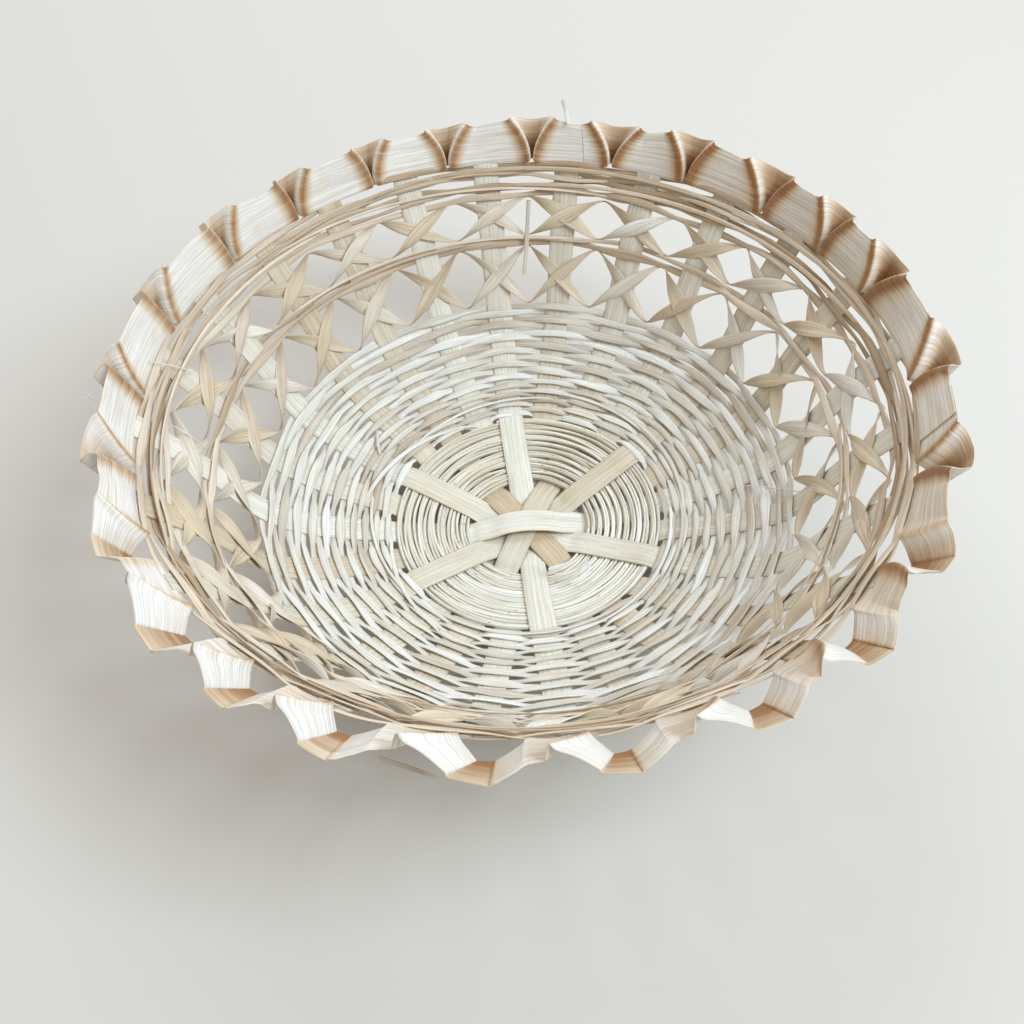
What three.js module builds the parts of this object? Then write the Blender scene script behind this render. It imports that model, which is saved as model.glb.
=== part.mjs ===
// A round split-bamboo basket, millimetres, +Z up, standing on z = 0 with its axis on Z.
// Six strips cross under the middle, twelve side stakes are tucked in beside them, and every
// weaver passes over one stake and under the next. Seen from the inside, +X is to the right.

import * as THREE from 'three';

// Stakes: flat strips that run from the base up to the rim
const baseStripCount = 6;
const stakeWidth = 8.6;
const stakeThickness = 0.5;
const firstStakeAngle = 93.9;
const sideStakeTuck = 6.2;
const stakeTail = 5;

// Crossing of the base strips, which are numbered round the basket and stacked in this order
const stackOrder = [0, 4, 2, 1, 5, 3];
const stackGap = 0.15;
const crossingFlat = 7.5;
const crossingEven = 12;

// Base coil: one splint wound on edge between the strips
const coilInnerRadius = 19.2;
const coilOuterRadius = 43;
const coilLoops = 17;
const coilGap = 0.47;
const splintHeight = 1.4;
const coilMidHeight = 1.95;
const baseSlope = 0.22;

// Clearances between strands that touch on the real basket
const weaveClearance = 0.3;
const coilClearance = 0.4;
const rowGap = 0.4;

// Wall profile, on the middle of the stakes: each point by its run outward and its rise from
// the one before, starting at the outer edge of the coil
const hipRun = 16;
const hipRise = 4.4;
const turnRun = 16;
const turnRise = 7.6;
const weaveTopRun = 9.2;
const weaveTopRise = 8.8;
const ringRun = 10.3;
const ringRise = 18.8;
const bandRun = 8.4;
const bandRise = 12.4;
const rimRun = 6.9;
const rimRise = 9.4;

// Weavers of the close part of the wall
const weaverThickness = 0.45;
const approach = 2;
const narrowRowCount = 8;
const narrowRowWidth = 1.5;
const wideRowCount = 12;
const wideRowWidth = 2;
const edgeRun = 0.4;
const bendSlack = 0.2;

// Open band of stars, the ring between its two rows, and the band above it
const lowerStarHeight = 20.6;
const upperStarHeight = 13.4;
const ringRowWidth = 1.6;
const bandRowCount = 6;
const bandRowWidth = 1.6;
const leafWidth = 4.2;
const leafShoulderWidth = 3.2;
const leafTipWidth = 1.3;
const leafShoulder = 0.48;
const leafTuck = 0.5;
const leafTipDepth = 1.75;
const leafCrossGap = 0.3;

// Ruffled ribbon round the rim, in the frame of one stake: along the rim and outward
const ribbonThickness = 0.35;
const ribbonSeat = 0.3;
const panelFoot = { along: 12.2, out: 0 };
const panelHead = { along: 6.8, out: 4.2, up: 10.2 };
const curlFoot = { along: 13, out: 1 };
const curlHead = { along: 7.9, out: 6, up: 9.9 };
const sideFoot = { along: 13.1, out: 3 };
const sideHead = { along: 8.9, out: 8.9, up: 9.3 };
const loopFoot = { along: 13.3, out: 4.4 };
const loopHead = { along: 12.8, out: 11.2, up: 9 };
const spliceGap = 0.25;
const spliceEnd = 0.75;
const shortStartIndex = 17;
const shortPanelCount = 8;

const stakeCount = baseStripCount * 4;
const stakeStep = (2 * Math.PI) / stakeCount;
const coilSteps = 20;
const chordError = 0.08;
const profileStep = 0.5;

// Distance from the middle of a stake to the middle of a weaver that crosses it
const interlace = stakeThickness / 2 + weaveClearance + weaverThickness / 2;

const bamboo = (name, color, roughness) =>
  new THREE.MeshStandardMaterial({ name, color, roughness, metalness: 0 });
const stakeMaterial = bamboo('stake', '#dcc397', 0.55);
const coilMaterial = bamboo('coil', '#d8c69e', 0.6);
const weaverMaterial = bamboo('weaver', '#e2d3b0', 0.55);
const starMaterial = bamboo('star', '#e6d9ba', 0.5);
const bandMaterial = bamboo('band', '#d3bd95', 0.6);
const ribbonMaterial = bamboo('ribbon', '#e8dcbd', 0.45);

const basket = new THREE.Group();

function addPiece(name, geometry, material) {
  const mesh = new THREE.Mesh(geometry, material);
  mesh.name = name;
  basket.add(mesh);
}

// A strand is lofted through stations: a rectangle of width by thickness at each one
function loftStrand(stations, closed) {
  const corners = [];
  for (const { at, across, facing, width, thickness } of stations) {
    for (const [side, face] of [[1, 1], [-1, 1], [-1, -1], [1, -1]]) {
      corners.push(
        at.clone()
          .addScaledVector(across, (side * width) / 2)
          .addScaledVector(facing, (face * thickness) / 2),
      );
    }
  }
  const triangles = [];
  const spans = closed ? stations.length : stations.length - 1;
  for (let k = 0; k < spans; k += 1) {
    const here = 4 * k;
    const next = 4 * ((k + 1) % stations.length);
    for (let c = 0; c < 4; c += 1) {
      const d = (c + 1) % 4;
      triangles.push([here + c, here + d, next + d], [here + c, next + d, next + c]);
    }
  }
  if (!closed) {
    const end = 4 * (stations.length - 1);
    triangles.push([0, 2, 1], [0, 3, 2], [end, end + 1, end + 2], [end, end + 2, end + 3]);
  }
  if (signedVolume(corners, triangles) < 0) triangles.forEach((t) => t.reverse());
  const geometry = new THREE.BufferGeometry().setFromPoints(corners);
  geometry.setIndex(triangles.flat());
  geometry.computeVertexNormals();
  return geometry;
}

function signedVolume(corners, triangles) {
  let sum = 0;
  for (const [a, b, c] of triangles) {
    sum += corners[a].dot(new THREE.Vector3().crossVectors(corners[b], corners[c]));
  }
  return sum / 6;
}

// Directions in the frame of a stake at an angle round the basket
const outward = (angle) => new THREE.Vector3(Math.cos(angle), Math.sin(angle), 0);
const sideways = (angle) => new THREE.Vector3(-Math.sin(angle), Math.cos(angle), 0);
const stakeAngle = (i) => THREE.MathUtils.degToRad(firstStakeAngle) + i * stakeStep;

const place = (angle, along, radius, height) =>
  outward(angle)
    .multiplyScalar(radius)
    .addScaledVector(sideways(angle), along)
    .setZ(height);

// The coil lies on a shallow cone that rises outward from the crossing
const coilHeightAt = (radius) => coilMidHeight + (radius - coilInnerRadius) * baseSlope;

const profilePoints = [new THREE.Vector2(coilOuterRadius, coilHeightAt(coilOuterRadius))];
for (const [run, rise] of [
  [hipRun, hipRise],
  [turnRun, turnRise],
  [weaveTopRun, weaveTopRise],
  [ringRun, ringRise],
  [bandRun, bandRise],
  [rimRun, rimRise],
]) {
  const last = profilePoints[profilePoints.length - 1];
  profilePoints.push(new THREE.Vector2(last.x + run, last.y + rise));
}
const profile = new THREE.SplineCurve(profilePoints);
profile.arcLengthDivisions = 600;
const profileLength = profile.getLength();

// A point of the wall, by its distance along a stake from the outer edge of the coil. Past
// the last point of the profile the wall goes straight on.
function wallAt(distance) {
  const share = Math.min(distance / profileLength, 1);
  const point = profile.getPointAt(share);
  const tangent = profile.getTangentAt(share);
  point.addScaledVector(tangent, Math.max(distance - profileLength, 0));
  return { point, tangent };
}

// A station on the wall: turned within the wall by tilt, and lifted off it to the inside
function wallStation({ angle, along = 0, distance, lift, tilt = 0, width, thickness }) {
  const { point, tangent } = wallAt(distance);
  const up = outward(angle).multiplyScalar(tangent.x).setZ(tangent.y);
  const facing = outward(angle).multiplyScalar(-tangent.y).setZ(tangent.x);
  const radius = point.x - tangent.y * lift;
  const height = point.y + tangent.x * lift;
  const across = up
    .multiplyScalar(Math.cos(tilt))
    .addScaledVector(sideways(angle), -Math.sin(tilt));
  return { at: place(angle, along, radius, height), across, facing, width, thickness };
}

// Distances along a stake of everything that the wall holds, from the coil to the rim
const narrowPitch = narrowRowWidth + rowGap;
const widePitch = wideRowWidth + rowGap;
const rows = [];
let reach = approach;
for (let k = 0; k < narrowRowCount; k += 1) {
  rows.push({ distance: reach + narrowPitch / 2, width: narrowRowWidth });
  reach += narrowPitch;
}
for (let k = 0; k < wideRowCount; k += 1) {
  rows.push({ distance: reach + widePitch / 2, width: wideRowWidth });
  reach += widePitch;
}
const lowerStarStart = reach - rowGap / 2;
const ringPitch = ringRowWidth + rowGap;
const ringStart = lowerStarStart + lowerStarHeight;
const ringRows = [0, 1].map((k) => ({
  distance: ringStart + ringRowWidth / 2 + k * ringPitch,
  width: ringRowWidth,
}));
const upperStarStart = ringStart + ringPitch + ringRowWidth;
const bandStart = upperStarStart + upperStarHeight;
const bandPitch = bandRowWidth + rowGap;
const bandRows = [];
for (let k = 0; k < bandRowCount; k += 1) {
  bandRows.push({ distance: bandStart + bandRowWidth / 2 + k * bandPitch, width: bandRowWidth });
}
const ribbonStart = bandStart + bandRowCount * bandPitch - rowGap + ribbonSeat;

// Stake paths, as points of distance from the axis and height. They start flat in the stack
// of the crossing, pass over or under the coil, and end above the band.
const coilRun = Math.sqrt(coilInnerRadius ** 2 - (stakeWidth / 2) ** 2) - coilClearance;
const overCoil = splintHeight / 2 + coilClearance + stakeThickness / 2;
const stackHeight = (level) => stakeThickness / 2 + level * (stakeThickness + stackGap);

// The wall's curve as a path whose chords stay within chordError of it
function wallPath() {
  const top = ribbonStart + stakeTail;
  const curve = [];
  for (let distance = approach; distance < top; distance += profileStep) {
    curve.push(wallAt(distance).point);
  }
  curve.push(wallAt(top).point);
  const path = [curve[0]];
  let from = 0;
  for (let to = from + 2; to < curve.length; to += 1) {
    const chord = new THREE.Vector2().subVectors(curve[to], curve[from]).normalize();
    const strays = curve.slice(from + 1, to).some((point) => {
      const offset = new THREE.Vector2().subVectors(point, curve[from]);
      return Math.abs(offset.cross(chord)) > chordError;
    });
    if (strays) {
      from = to - 1;
      path.push(curve[from]);
    }
  }
  path.push(curve[curve.length - 1]);
  return path;
}

// A strip beside the coil is clear of it along the strip's edges too
const pastCoil = coilOuterRadius + coilClearance;
function besideCoil(radius, side) {
  const highest = side > 0 ? Math.hypot(radius, stakeWidth / 2) : radius;
  return new THREE.Vector2(radius, coilHeightAt(highest) + side * overCoil);
}

function baseHalfPath(level, side) {
  const evenLevel = side > 0 ? baseStripCount / 2 - 1 : baseStripCount / 2;
  const edgesMeet = stakeWidth / 2 / Math.tan(stakeStep);
  const parted = edgesMeet + stackGap / 2 / Math.sin(stakeStep);
  return [
    new THREE.Vector2(crossingFlat, stackHeight(level)),
    new THREE.Vector2(crossingEven, stackHeight(evenLevel)),
    new THREE.Vector2(parted, stackHeight(evenLevel)),
    besideCoil(coilRun, side),
    besideCoil(pastCoil, side),
    ...wallPath(),
  ];
}

// A planar path becomes a strip: the stations share each bend evenly
function stripAlong(path, angle) {
  const stations = path.map((point, k) => {
    const before = path[Math.max(k - 1, 0)];
    const after = path[Math.min(k + 1, path.length - 1)];
    const into = point.clone().sub(before).normalize();
    const out = after.clone().sub(point).normalize();
    const along = into.add(out).normalize();
    return {
      at: place(angle, 0, point.x, point.y),
      across: sideways(angle),
      facing: outward(angle).multiplyScalar(-along.y).setZ(along.x),
      width: stakeWidth,
      thickness: stakeThickness,
    };
  });
  return loftStrand(stations, false);
}

// Base strips cross the basket from rim to rim. Every other one passes over the coil; those
// lie lowest in the crossing, and the ones that pass under the coil lie on top of them.
const mirrored = (point) => new THREE.Vector2(-point.x, point.y);
for (let k = 0; k < baseStripCount; k += 1) {
  const half = baseHalfPath(stackOrder.indexOf(k), k % 2 === 0 ? 1 : -1);
  const whole = [...half.map(mirrored).reverse(), ...half];
  addPiece(`base_strip_${k + 1}`, stripAlong(whole, stakeAngle(2 * k)), stakeMaterial);
}

// Side stakes start under the edge of the coil, between the base strips
for (let k = 0; k < stakeCount / 2; k += 1) {
  const path = [besideCoil(pastCoil - sideStakeTuck, -1), besideCoil(pastCoil, -1), ...wallPath()];
  addPiece(`side_stake_${k + 1}`, stripAlong(path, stakeAngle(2 * k + 1)), stakeMaterial);
}

// The coil is one unbroken splint, and its thickness follows from its gap and loops
const coilPitch = (coilOuterRadius - coilInnerRadius + coilGap) / (coilLoops + 1);
const splintThickness = coilPitch - coilGap;
const coilStart = coilInnerRadius + splintThickness / 2;
const coilStations = [];
for (let k = 0; k <= coilLoops * coilSteps; k += 1) {
  const turn = (k * 2 * Math.PI) / coilSteps;
  const angle = stakeAngle(0) + turn + stakeStep / 2;
  const radius = coilStart + (coilPitch * k) / coilSteps;
  coilStations.push({
    at: place(angle, 0, radius, coilHeightAt(radius)),
    across: new THREE.Vector3(0, 0, 1),
    facing: outward(angle),
    width: splintHeight,
    thickness: splintThickness,
  });
}
addPiece('base_coil', loftStrand(coilStations, false), coilMaterial);

// The least gap from one loop's outer side to the next loop's inner side, on points
function leastCoilGap() {
  const sidePoint = ({ at, facing }, side) =>
    at.clone().addScaledVector(facing, (side * splintThickness) / 2);
  const nearest = new THREE.Vector3();
  let least = Infinity;
  for (let k = 0; k + coilSteps + 1 < coilStations.length; k += 1) {
    const point = sidePoint(coilStations[k], 1);
    for (const shift of [-1, 0]) {
      const from = coilStations[Math.max(k + coilSteps + shift, 0)];
      const to = coilStations[k + coilSteps + shift + 1];
      const segment = new THREE.Line3(sidePoint(from, -1), sidePoint(to, -1));
      segment.closestPointToPoint(point, true, nearest);
      least = Math.min(least, nearest.distanceTo(point));
    }
  }
  return least;
}
console.log(`base coil: ${coilLoops} loops, least gap to itself ${leastCoilGap().toFixed(2)} mm`);

// A row passes inside one stake and outside the next. It lies flat across a stake, from edge
// to edge, except where the wall is so wide that one bend inside a stake keeps it clear.
function weaverRow({ distance, width }, parity) {
  const edge = stakeWidth / 2 + edgeRun;
  const { point, tangent } = wallAt(distance);
  const nextAlong = (point.x + interlace) * Math.sin(stakeStep) - edge * Math.cos(stakeStep);
  const nextOut = (point.x + interlace) * Math.cos(stakeStep) + edge * Math.sin(stakeStep);
  const share = edge / nextAlong;
  const bendLift = (interlace + (nextOut - point.x) * tangent.y * share) / (1 - share);
  const insideSides = bendLift > interlace + bendSlack ? [-1, 1] : [0];
  const stations = [];
  for (let i = 0; i < stakeCount; i += 1) {
    const inside = (i + parity) % 2 === 0;
    for (const side of inside ? insideSides : [-1, 1]) {
      stations.push(
        wallStation({
          angle: stakeAngle(i),
          along: side * edge,
          distance,
          lift: inside ? Math.max(interlace, side === 0 ? bendLift : 0) : -interlace,
          width,
          thickness: weaverThickness,
        }),
      );
    }
  }
  return loftStrand(stations, true);
}
rows.forEach((row, k) => {
  const number = String(k + 1).padStart(2, '0');
  addPiece(`wall_weaver_${number}`, weaverRow(row, k), weaverMaterial);
});
const ringNames = ['ring_weaver_lower', 'ring_weaver_upper'];
ringRows.forEach((row, k) => addPiece(ringNames[k], weaverRow(row, k), bandMaterial));
bandRows.forEach((row, k) => addPiece(`band_weaver_${k + 1}`, weaverRow(row, k), bandMaterial));

// A row of stars is two zigzag strands, broad where they cross on a stake and pinched behind
// the weavers above and below. The strand that leans to the right lies on top.
function starStrand(start, height, strand) {
  const middle = start + height / 2;
  const halfHeight = height / 2 + leafTuck;
  const halfPitch = wallAt(middle).point.x * Math.tan(stakeStep / 2);
  const slope = Math.atan2(halfHeight, halfPitch);
  const topShoulder = interlace + weaverThickness + leafCrossGap / 2;
  const topMiddle = interlace + weaverThickness + leafCrossGap;
  const stations = [];
  for (let i = 0; i < stakeCount; i += 1) {
    const rising = (i + strand) % 2 === 0;
    const climb = rising ? 1 : -1;
    stations.push(
      wallStation({
        angle: stakeAngle(i) - stakeStep / 2,
        distance: middle - climb * (halfHeight - leafTipWidth / 2),
        lift: -leafTipDepth,
        width: leafTipWidth,
        thickness: weaverThickness,
      }),
    );
    for (const side of [-1, 0, 1]) {
      stations.push(
        wallStation({
          angle: stakeAngle(i),
          along: side * leafShoulder * halfPitch,
          distance: middle + side * leafShoulder * climb * halfHeight,
          lift: rising ? interlace : side === 0 ? topMiddle : topShoulder,
          tilt: climb * slope,
          width: side === 0 ? leafWidth : leafShoulderWidth,
          thickness: weaverThickness,
        }),
      );
    }
  }
  return loftStrand(stations, true);
}
for (const strand of [0, 1]) {
  const letter = 'ab'[strand];
  const lower = starStrand(lowerStarStart, lowerStarHeight, strand);
  const upper = starStrand(upperStarStart, upperStarHeight, strand);
  addPiece(`lower_star_strand_${letter}`, lower, starMaterial);
  addPiece(`upper_star_strand_${letter}`, upper, starMaterial);
}

// The ribbon stands as a flat panel inside each stake and bulges outward in a loop between
// two stakes. A ruling runs from its foot on the band to its free edge.
const rulings = [
  { foot: loopFoot, head: loopHead, side: -1 },
  { foot: sideFoot, head: sideHead, side: -1 },
  { foot: curlFoot, head: curlHead, side: -1 },
  { foot: panelFoot, head: panelHead, side: -1 },
  { foot: panelFoot, head: panelHead, side: 1 },
  { foot: curlFoot, head: curlHead, side: 1 },
  { foot: sideFoot, head: sideHead, side: 1 },
  { foot: loopFoot, head: loopHead, side: 1 },
];

function ribbonLength(firstPanel, panelCount, spliceLift) {
  const { point, tangent } = wallAt(ribbonStart);
  const seat = stakeThickness / 2 + weaveClearance + ribbonThickness / 2;
  const footRadius = point.x - tangent.y * seat;
  const footHeight = point.y + tangent.x * seat;
  const lean = Math.atan2(panelHead.up, panelHead.out);
  const lines = [];
  for (let p = 0; p < panelCount; p += 1) {
    const angle = stakeAngle(firstPanel + p);
    const start = p === 0;
    const end = p === panelCount - 1;
    const lift = start || end ? spliceLift : 0;
    const radius = footRadius - lift * Math.sin(lean);
    const height = footHeight + lift * Math.cos(lean);
    for (const ruling of rulings) {
      const { foot, head, side } = ruling;
      const cut = (start && side < 0) || (end && side > 0);
      if (cut && foot !== panelFoot) continue;
      const reachAlong = side * (cut ? spliceEnd : 1);
      lines.push({
        foot: place(angle, reachAlong * foot.along, radius + foot.out, height),
        head: place(angle, reachAlong * head.along, radius + head.out, height + head.up),
      });
    }
  }
  const middles = lines.map(({ foot, head }) => foot.clone().lerp(head, 0.5));
  const stations = lines.map(({ foot, head }, k) => {
    const before = middles[Math.max(k - 1, 0)];
    const after = middles[Math.min(k + 1, middles.length - 1)];
    const into = middles[k].clone().sub(before).normalize();
    const out = after.clone().sub(middles[k]).normalize();
    const across = head.clone().sub(foot).normalize();
    return {
      at: middles[k],
      across,
      facing: new THREE.Vector3().crossVectors(across, into.add(out)).normalize(),
      width: head.distanceTo(foot),
      thickness: ribbonThickness,
    };
  });
  return loftStrand(stations, false);
}
const longPanelCount = stakeCount - shortPanelCount + 2;
const longStartIndex = shortStartIndex + shortPanelCount - 1;
addPiece('rim_ribbon_long', ribbonLength(longStartIndex, longPanelCount, 0), ribbonMaterial);
addPiece(
  'rim_ribbon_short',
  ribbonLength(shortStartIndex, shortPanelCount, ribbonThickness + spliceGap),
  ribbonMaterial,
);

export default basket;
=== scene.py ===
"""Looks of a round split-bamboo basket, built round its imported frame.

Lengths are millimetres until a mesh is made. The basket stands on z = 0 with its axis on Z, and
angles are counted in stakes: stake 0 stands at the back of the basket, a little left of +Y.
"""

import logging
import math
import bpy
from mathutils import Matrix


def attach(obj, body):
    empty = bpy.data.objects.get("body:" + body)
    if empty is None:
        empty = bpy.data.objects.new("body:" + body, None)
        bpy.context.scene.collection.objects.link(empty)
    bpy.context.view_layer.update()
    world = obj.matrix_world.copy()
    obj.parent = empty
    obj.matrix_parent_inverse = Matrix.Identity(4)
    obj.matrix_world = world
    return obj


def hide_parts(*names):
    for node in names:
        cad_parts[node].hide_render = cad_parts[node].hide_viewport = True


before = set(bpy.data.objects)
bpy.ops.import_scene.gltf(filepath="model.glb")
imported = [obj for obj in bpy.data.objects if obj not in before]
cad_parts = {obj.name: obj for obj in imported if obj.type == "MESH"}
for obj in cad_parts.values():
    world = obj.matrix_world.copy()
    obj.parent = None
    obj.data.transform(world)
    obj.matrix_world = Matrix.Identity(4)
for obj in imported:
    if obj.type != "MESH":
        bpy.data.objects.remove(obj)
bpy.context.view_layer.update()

import zlib
from dataclasses import dataclass, field
from enum import Enum
from typing import Any, Union

import bpy
import numpy as np
from mathutils import Matrix, Vector

log = logging.getLogger("basket")

METRE = 0.001
CUP_BALANCE = 0.4
STAKE_COUNT = 24
STAKE_STEP = 2 * math.pi / STAKE_COUNT
FIRST_STAKE = math.radians(93.9)
STAKE_WIDTH = 8.6
STAKE_THICKNESS = 0.5
WEAVER_THICKNESS = 0.45
INTERLACE = 0.62
GRAIN_SPREAD = 40000.0
RIM_DISTANCE = 95.3
FRONT_STAKE = 11.5
FRONT_REACH = 1.3
FRONT_EDGE = 0.1
UP = np.array([0.0, 0.0, 1.0])


class Side(Enum):
    """Which side of a stake or of the coil a strand passes on."""

    INSIDE = 1
    OUTSIDE = -1


def drawn_for(name: str) -> np.random.RandomState:
    """Random draws that belong to one piece and stay the same each run."""
    return np.random.RandomState(zlib.crc32(name.encode()) % (2**31))


def angle_of(stake: np.ndarray) -> np.ndarray:
    """Angle round the basket of a place that is counted in stakes."""
    return FIRST_STAKE + np.asarray(stake, float) * STAKE_STEP


def directions(stake: float) -> tuple[np.ndarray, np.ndarray]:
    """Level directions at a place: away from the axis, and on towards higher stakes."""
    turn = float(angle_of(stake))
    cosine = math.cos(turn)
    sine = math.sin(turn)
    return np.array([cosine, sine, 0.0]), np.array([-sine, cosine, 0.0])


def unit(vectors: np.ndarray) -> np.ndarray:
    """Rows of an array, each made one long."""
    return vectors / np.linalg.norm(vectors, axis=-1, keepdims=True)


def ease(value: np.ndarray) -> np.ndarray:
    """Smooth step from 0 to 1 of values that are clipped to that range."""
    part = np.clip(value, 0, 1)
    return part * part * (3 - 2 * part)


def toward(stake: np.ndarray, side: float) -> np.ndarray:
    """How far a place is on a side of the basket, from -1 opposite it to 1."""
    return np.cos((stake - side) * STAKE_STEP)


def front_share(stake: float) -> float:
    """How much of the front's shape a place has, from 0 round the back to 1 at the front."""
    return float(ease(FRONT_REACH * toward(stake, FRONT_STAKE) - FRONT_EDGE))


@dataclass
class Wander:
    """A smooth random line that closes on itself after one turn round the basket.

    Attributes:
        draws: where its waves come from.
        size: its usual distance from 0.
        slowest: waves in one turn, at least.
        fastest: waves in one turn, at most.
    """

    draws: np.random.RandomState
    size: float
    slowest: int = 1
    fastest: int = 9
    sizes: np.ndarray = field(init=False)
    starts: np.ndarray = field(init=False)

    def __post_init__(self) -> None:
        """Draws the waves."""
        counts = np.arange(self.slowest, self.fastest + 1)
        self.sizes = self.draws.normal(size=counts.size)
        self.sizes *= self.size * math.sqrt(2) / np.linalg.norm(self.sizes)
        self.starts = self.draws.uniform(0, 2 * math.pi, counts.size)

    def at(self, stake: np.ndarray) -> np.ndarray:
        """Height of the line at places that are counted in stakes."""
        counts = np.arange(self.slowest, self.fastest + 1)
        turn = np.asarray(stake, float)[..., None] * STAKE_STEP
        return (self.sizes * np.sin(turn * counts + self.starts)).sum(axis=-1)


@dataclass
class Wall:
    """The bowl's wall on the middle of its stakes, from the outer edge of the coil to the rim.

    Attributes:
        coil_edge: radius where the wall starts.
        coil_edge_height: height where it starts.
        runs: steps outward and up from point to point of the wall's curve.
        fineness: samples from one of these points to the next.
    """

    coil_edge: float = 43.0
    coil_edge_height: float = 7.186
    runs: tuple = ((16, 4.4), (16, 7.6), (9.2, 8.8), (10.3, 18.8), (8.4, 12.4), (6.9, 9.4))
    fineness: int = 600
    lengths: np.ndarray = field(init=False)
    points: np.ndarray = field(init=False)
    tangents: np.ndarray = field(init=False)

    def __post_init__(self) -> None:
        """Samples the curve through the points, with its length and direction."""
        start = np.array([[self.coil_edge, self.coil_edge_height]])
        knots = np.concatenate([start, start + np.cumsum(self.runs, axis=0)])
        self.points = through(knots, self.fineness)
        steps = np.linalg.norm(np.diff(self.points, axis=0), axis=1)
        self.lengths = np.concatenate([[0], np.cumsum(steps)])
        self.tangents = unit(np.gradient(self.points, self.lengths, axis=0))

    def section(self, distance: np.ndarray) -> tuple[np.ndarray, np.ndarray]:
        """Radius and height of the wall, and its direction, at distances along a stake.

        Args:
            distance: distances from the edge of the coil. Past the rim the wall goes straight.

        Returns:
            The points and the tangents, as arrays of pairs.
        """
        reach = np.asarray(distance, float)
        within = np.clip(reach, 0, self.lengths[-1])
        point = np.stack([np.interp(within, self.lengths, p) for p in self.points.T], -1)
        tangent = unit(np.stack([np.interp(within, self.lengths, p) for p in self.tangents.T], -1))
        return point + tangent * (reach - within)[..., None], tangent

    def place(
        self, stake: np.ndarray, distance: np.ndarray, lift: np.ndarray
    ) -> tuple[np.ndarray, np.ndarray]:
        """Points on the wall and the directions that face into the bowl there.

        Args:
            stake: places round the basket, counted in stakes.
            distance: distances along the wall.
            lift: how far to move off the wall, to the inside.

        Returns:
            The points and the facing directions, as arrays of triples.
        """
        turn = angle_of(stake)
        point, tangent = self.section(distance)
        radius = point[..., 0] - tangent[..., 1] * lift
        height = point[..., 1] + tangent[..., 0] * lift
        cosine = np.cos(turn)
        sine = np.sin(turn)
        at = np.stack([radius * cosine, radius * sine, height + 0 * turn], -1)
        inward = -tangent[..., 1]
        facing = np.stack([inward * cosine, inward * sine, tangent[..., 0] + 0 * turn], -1)
        return at, facing


@dataclass(frozen=True)
class Outline:
    """Cross-section of a strand, in halves of its width and thickness.

    Attributes:
        edge: how far the rounded edge reaches in from the side, as a share of half the width.
        crown: how far the middle of the outer side stands above its edges.
        spans: flat parts side by side on each side.
        shoulder: how far the outer side's edges stand off the middle of the section.
        cheek: how far the flat of each narrow side reaches from its middle.
    """

    edge: float = 0.12
    crown: float = 0.15
    spans: int = 4
    shoulder: float = 0.85
    cheek: float = 0.2

    def points(self) -> np.ndarray:
        """Corners in order round the section, as pairs of across and out."""
        inner = 1 - self.edge
        place = np.linspace(1, -1, self.spans + 1)
        round_off = 1 - place**2
        upper = self.shoulder + (1 + self.crown - self.shoulder) * round_off
        lower = -self.shoulder - (1 - self.shoulder) * round_off
        over = list(zip(inner * place, upper))
        below = list(zip(-inner * place, lower))
        left = [(-1.0, self.cheek), (-1.0, -self.cheek)]
        return np.array([(1.0, self.cheek), *over, *left, *below, (1.0, -self.cheek)])


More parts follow.
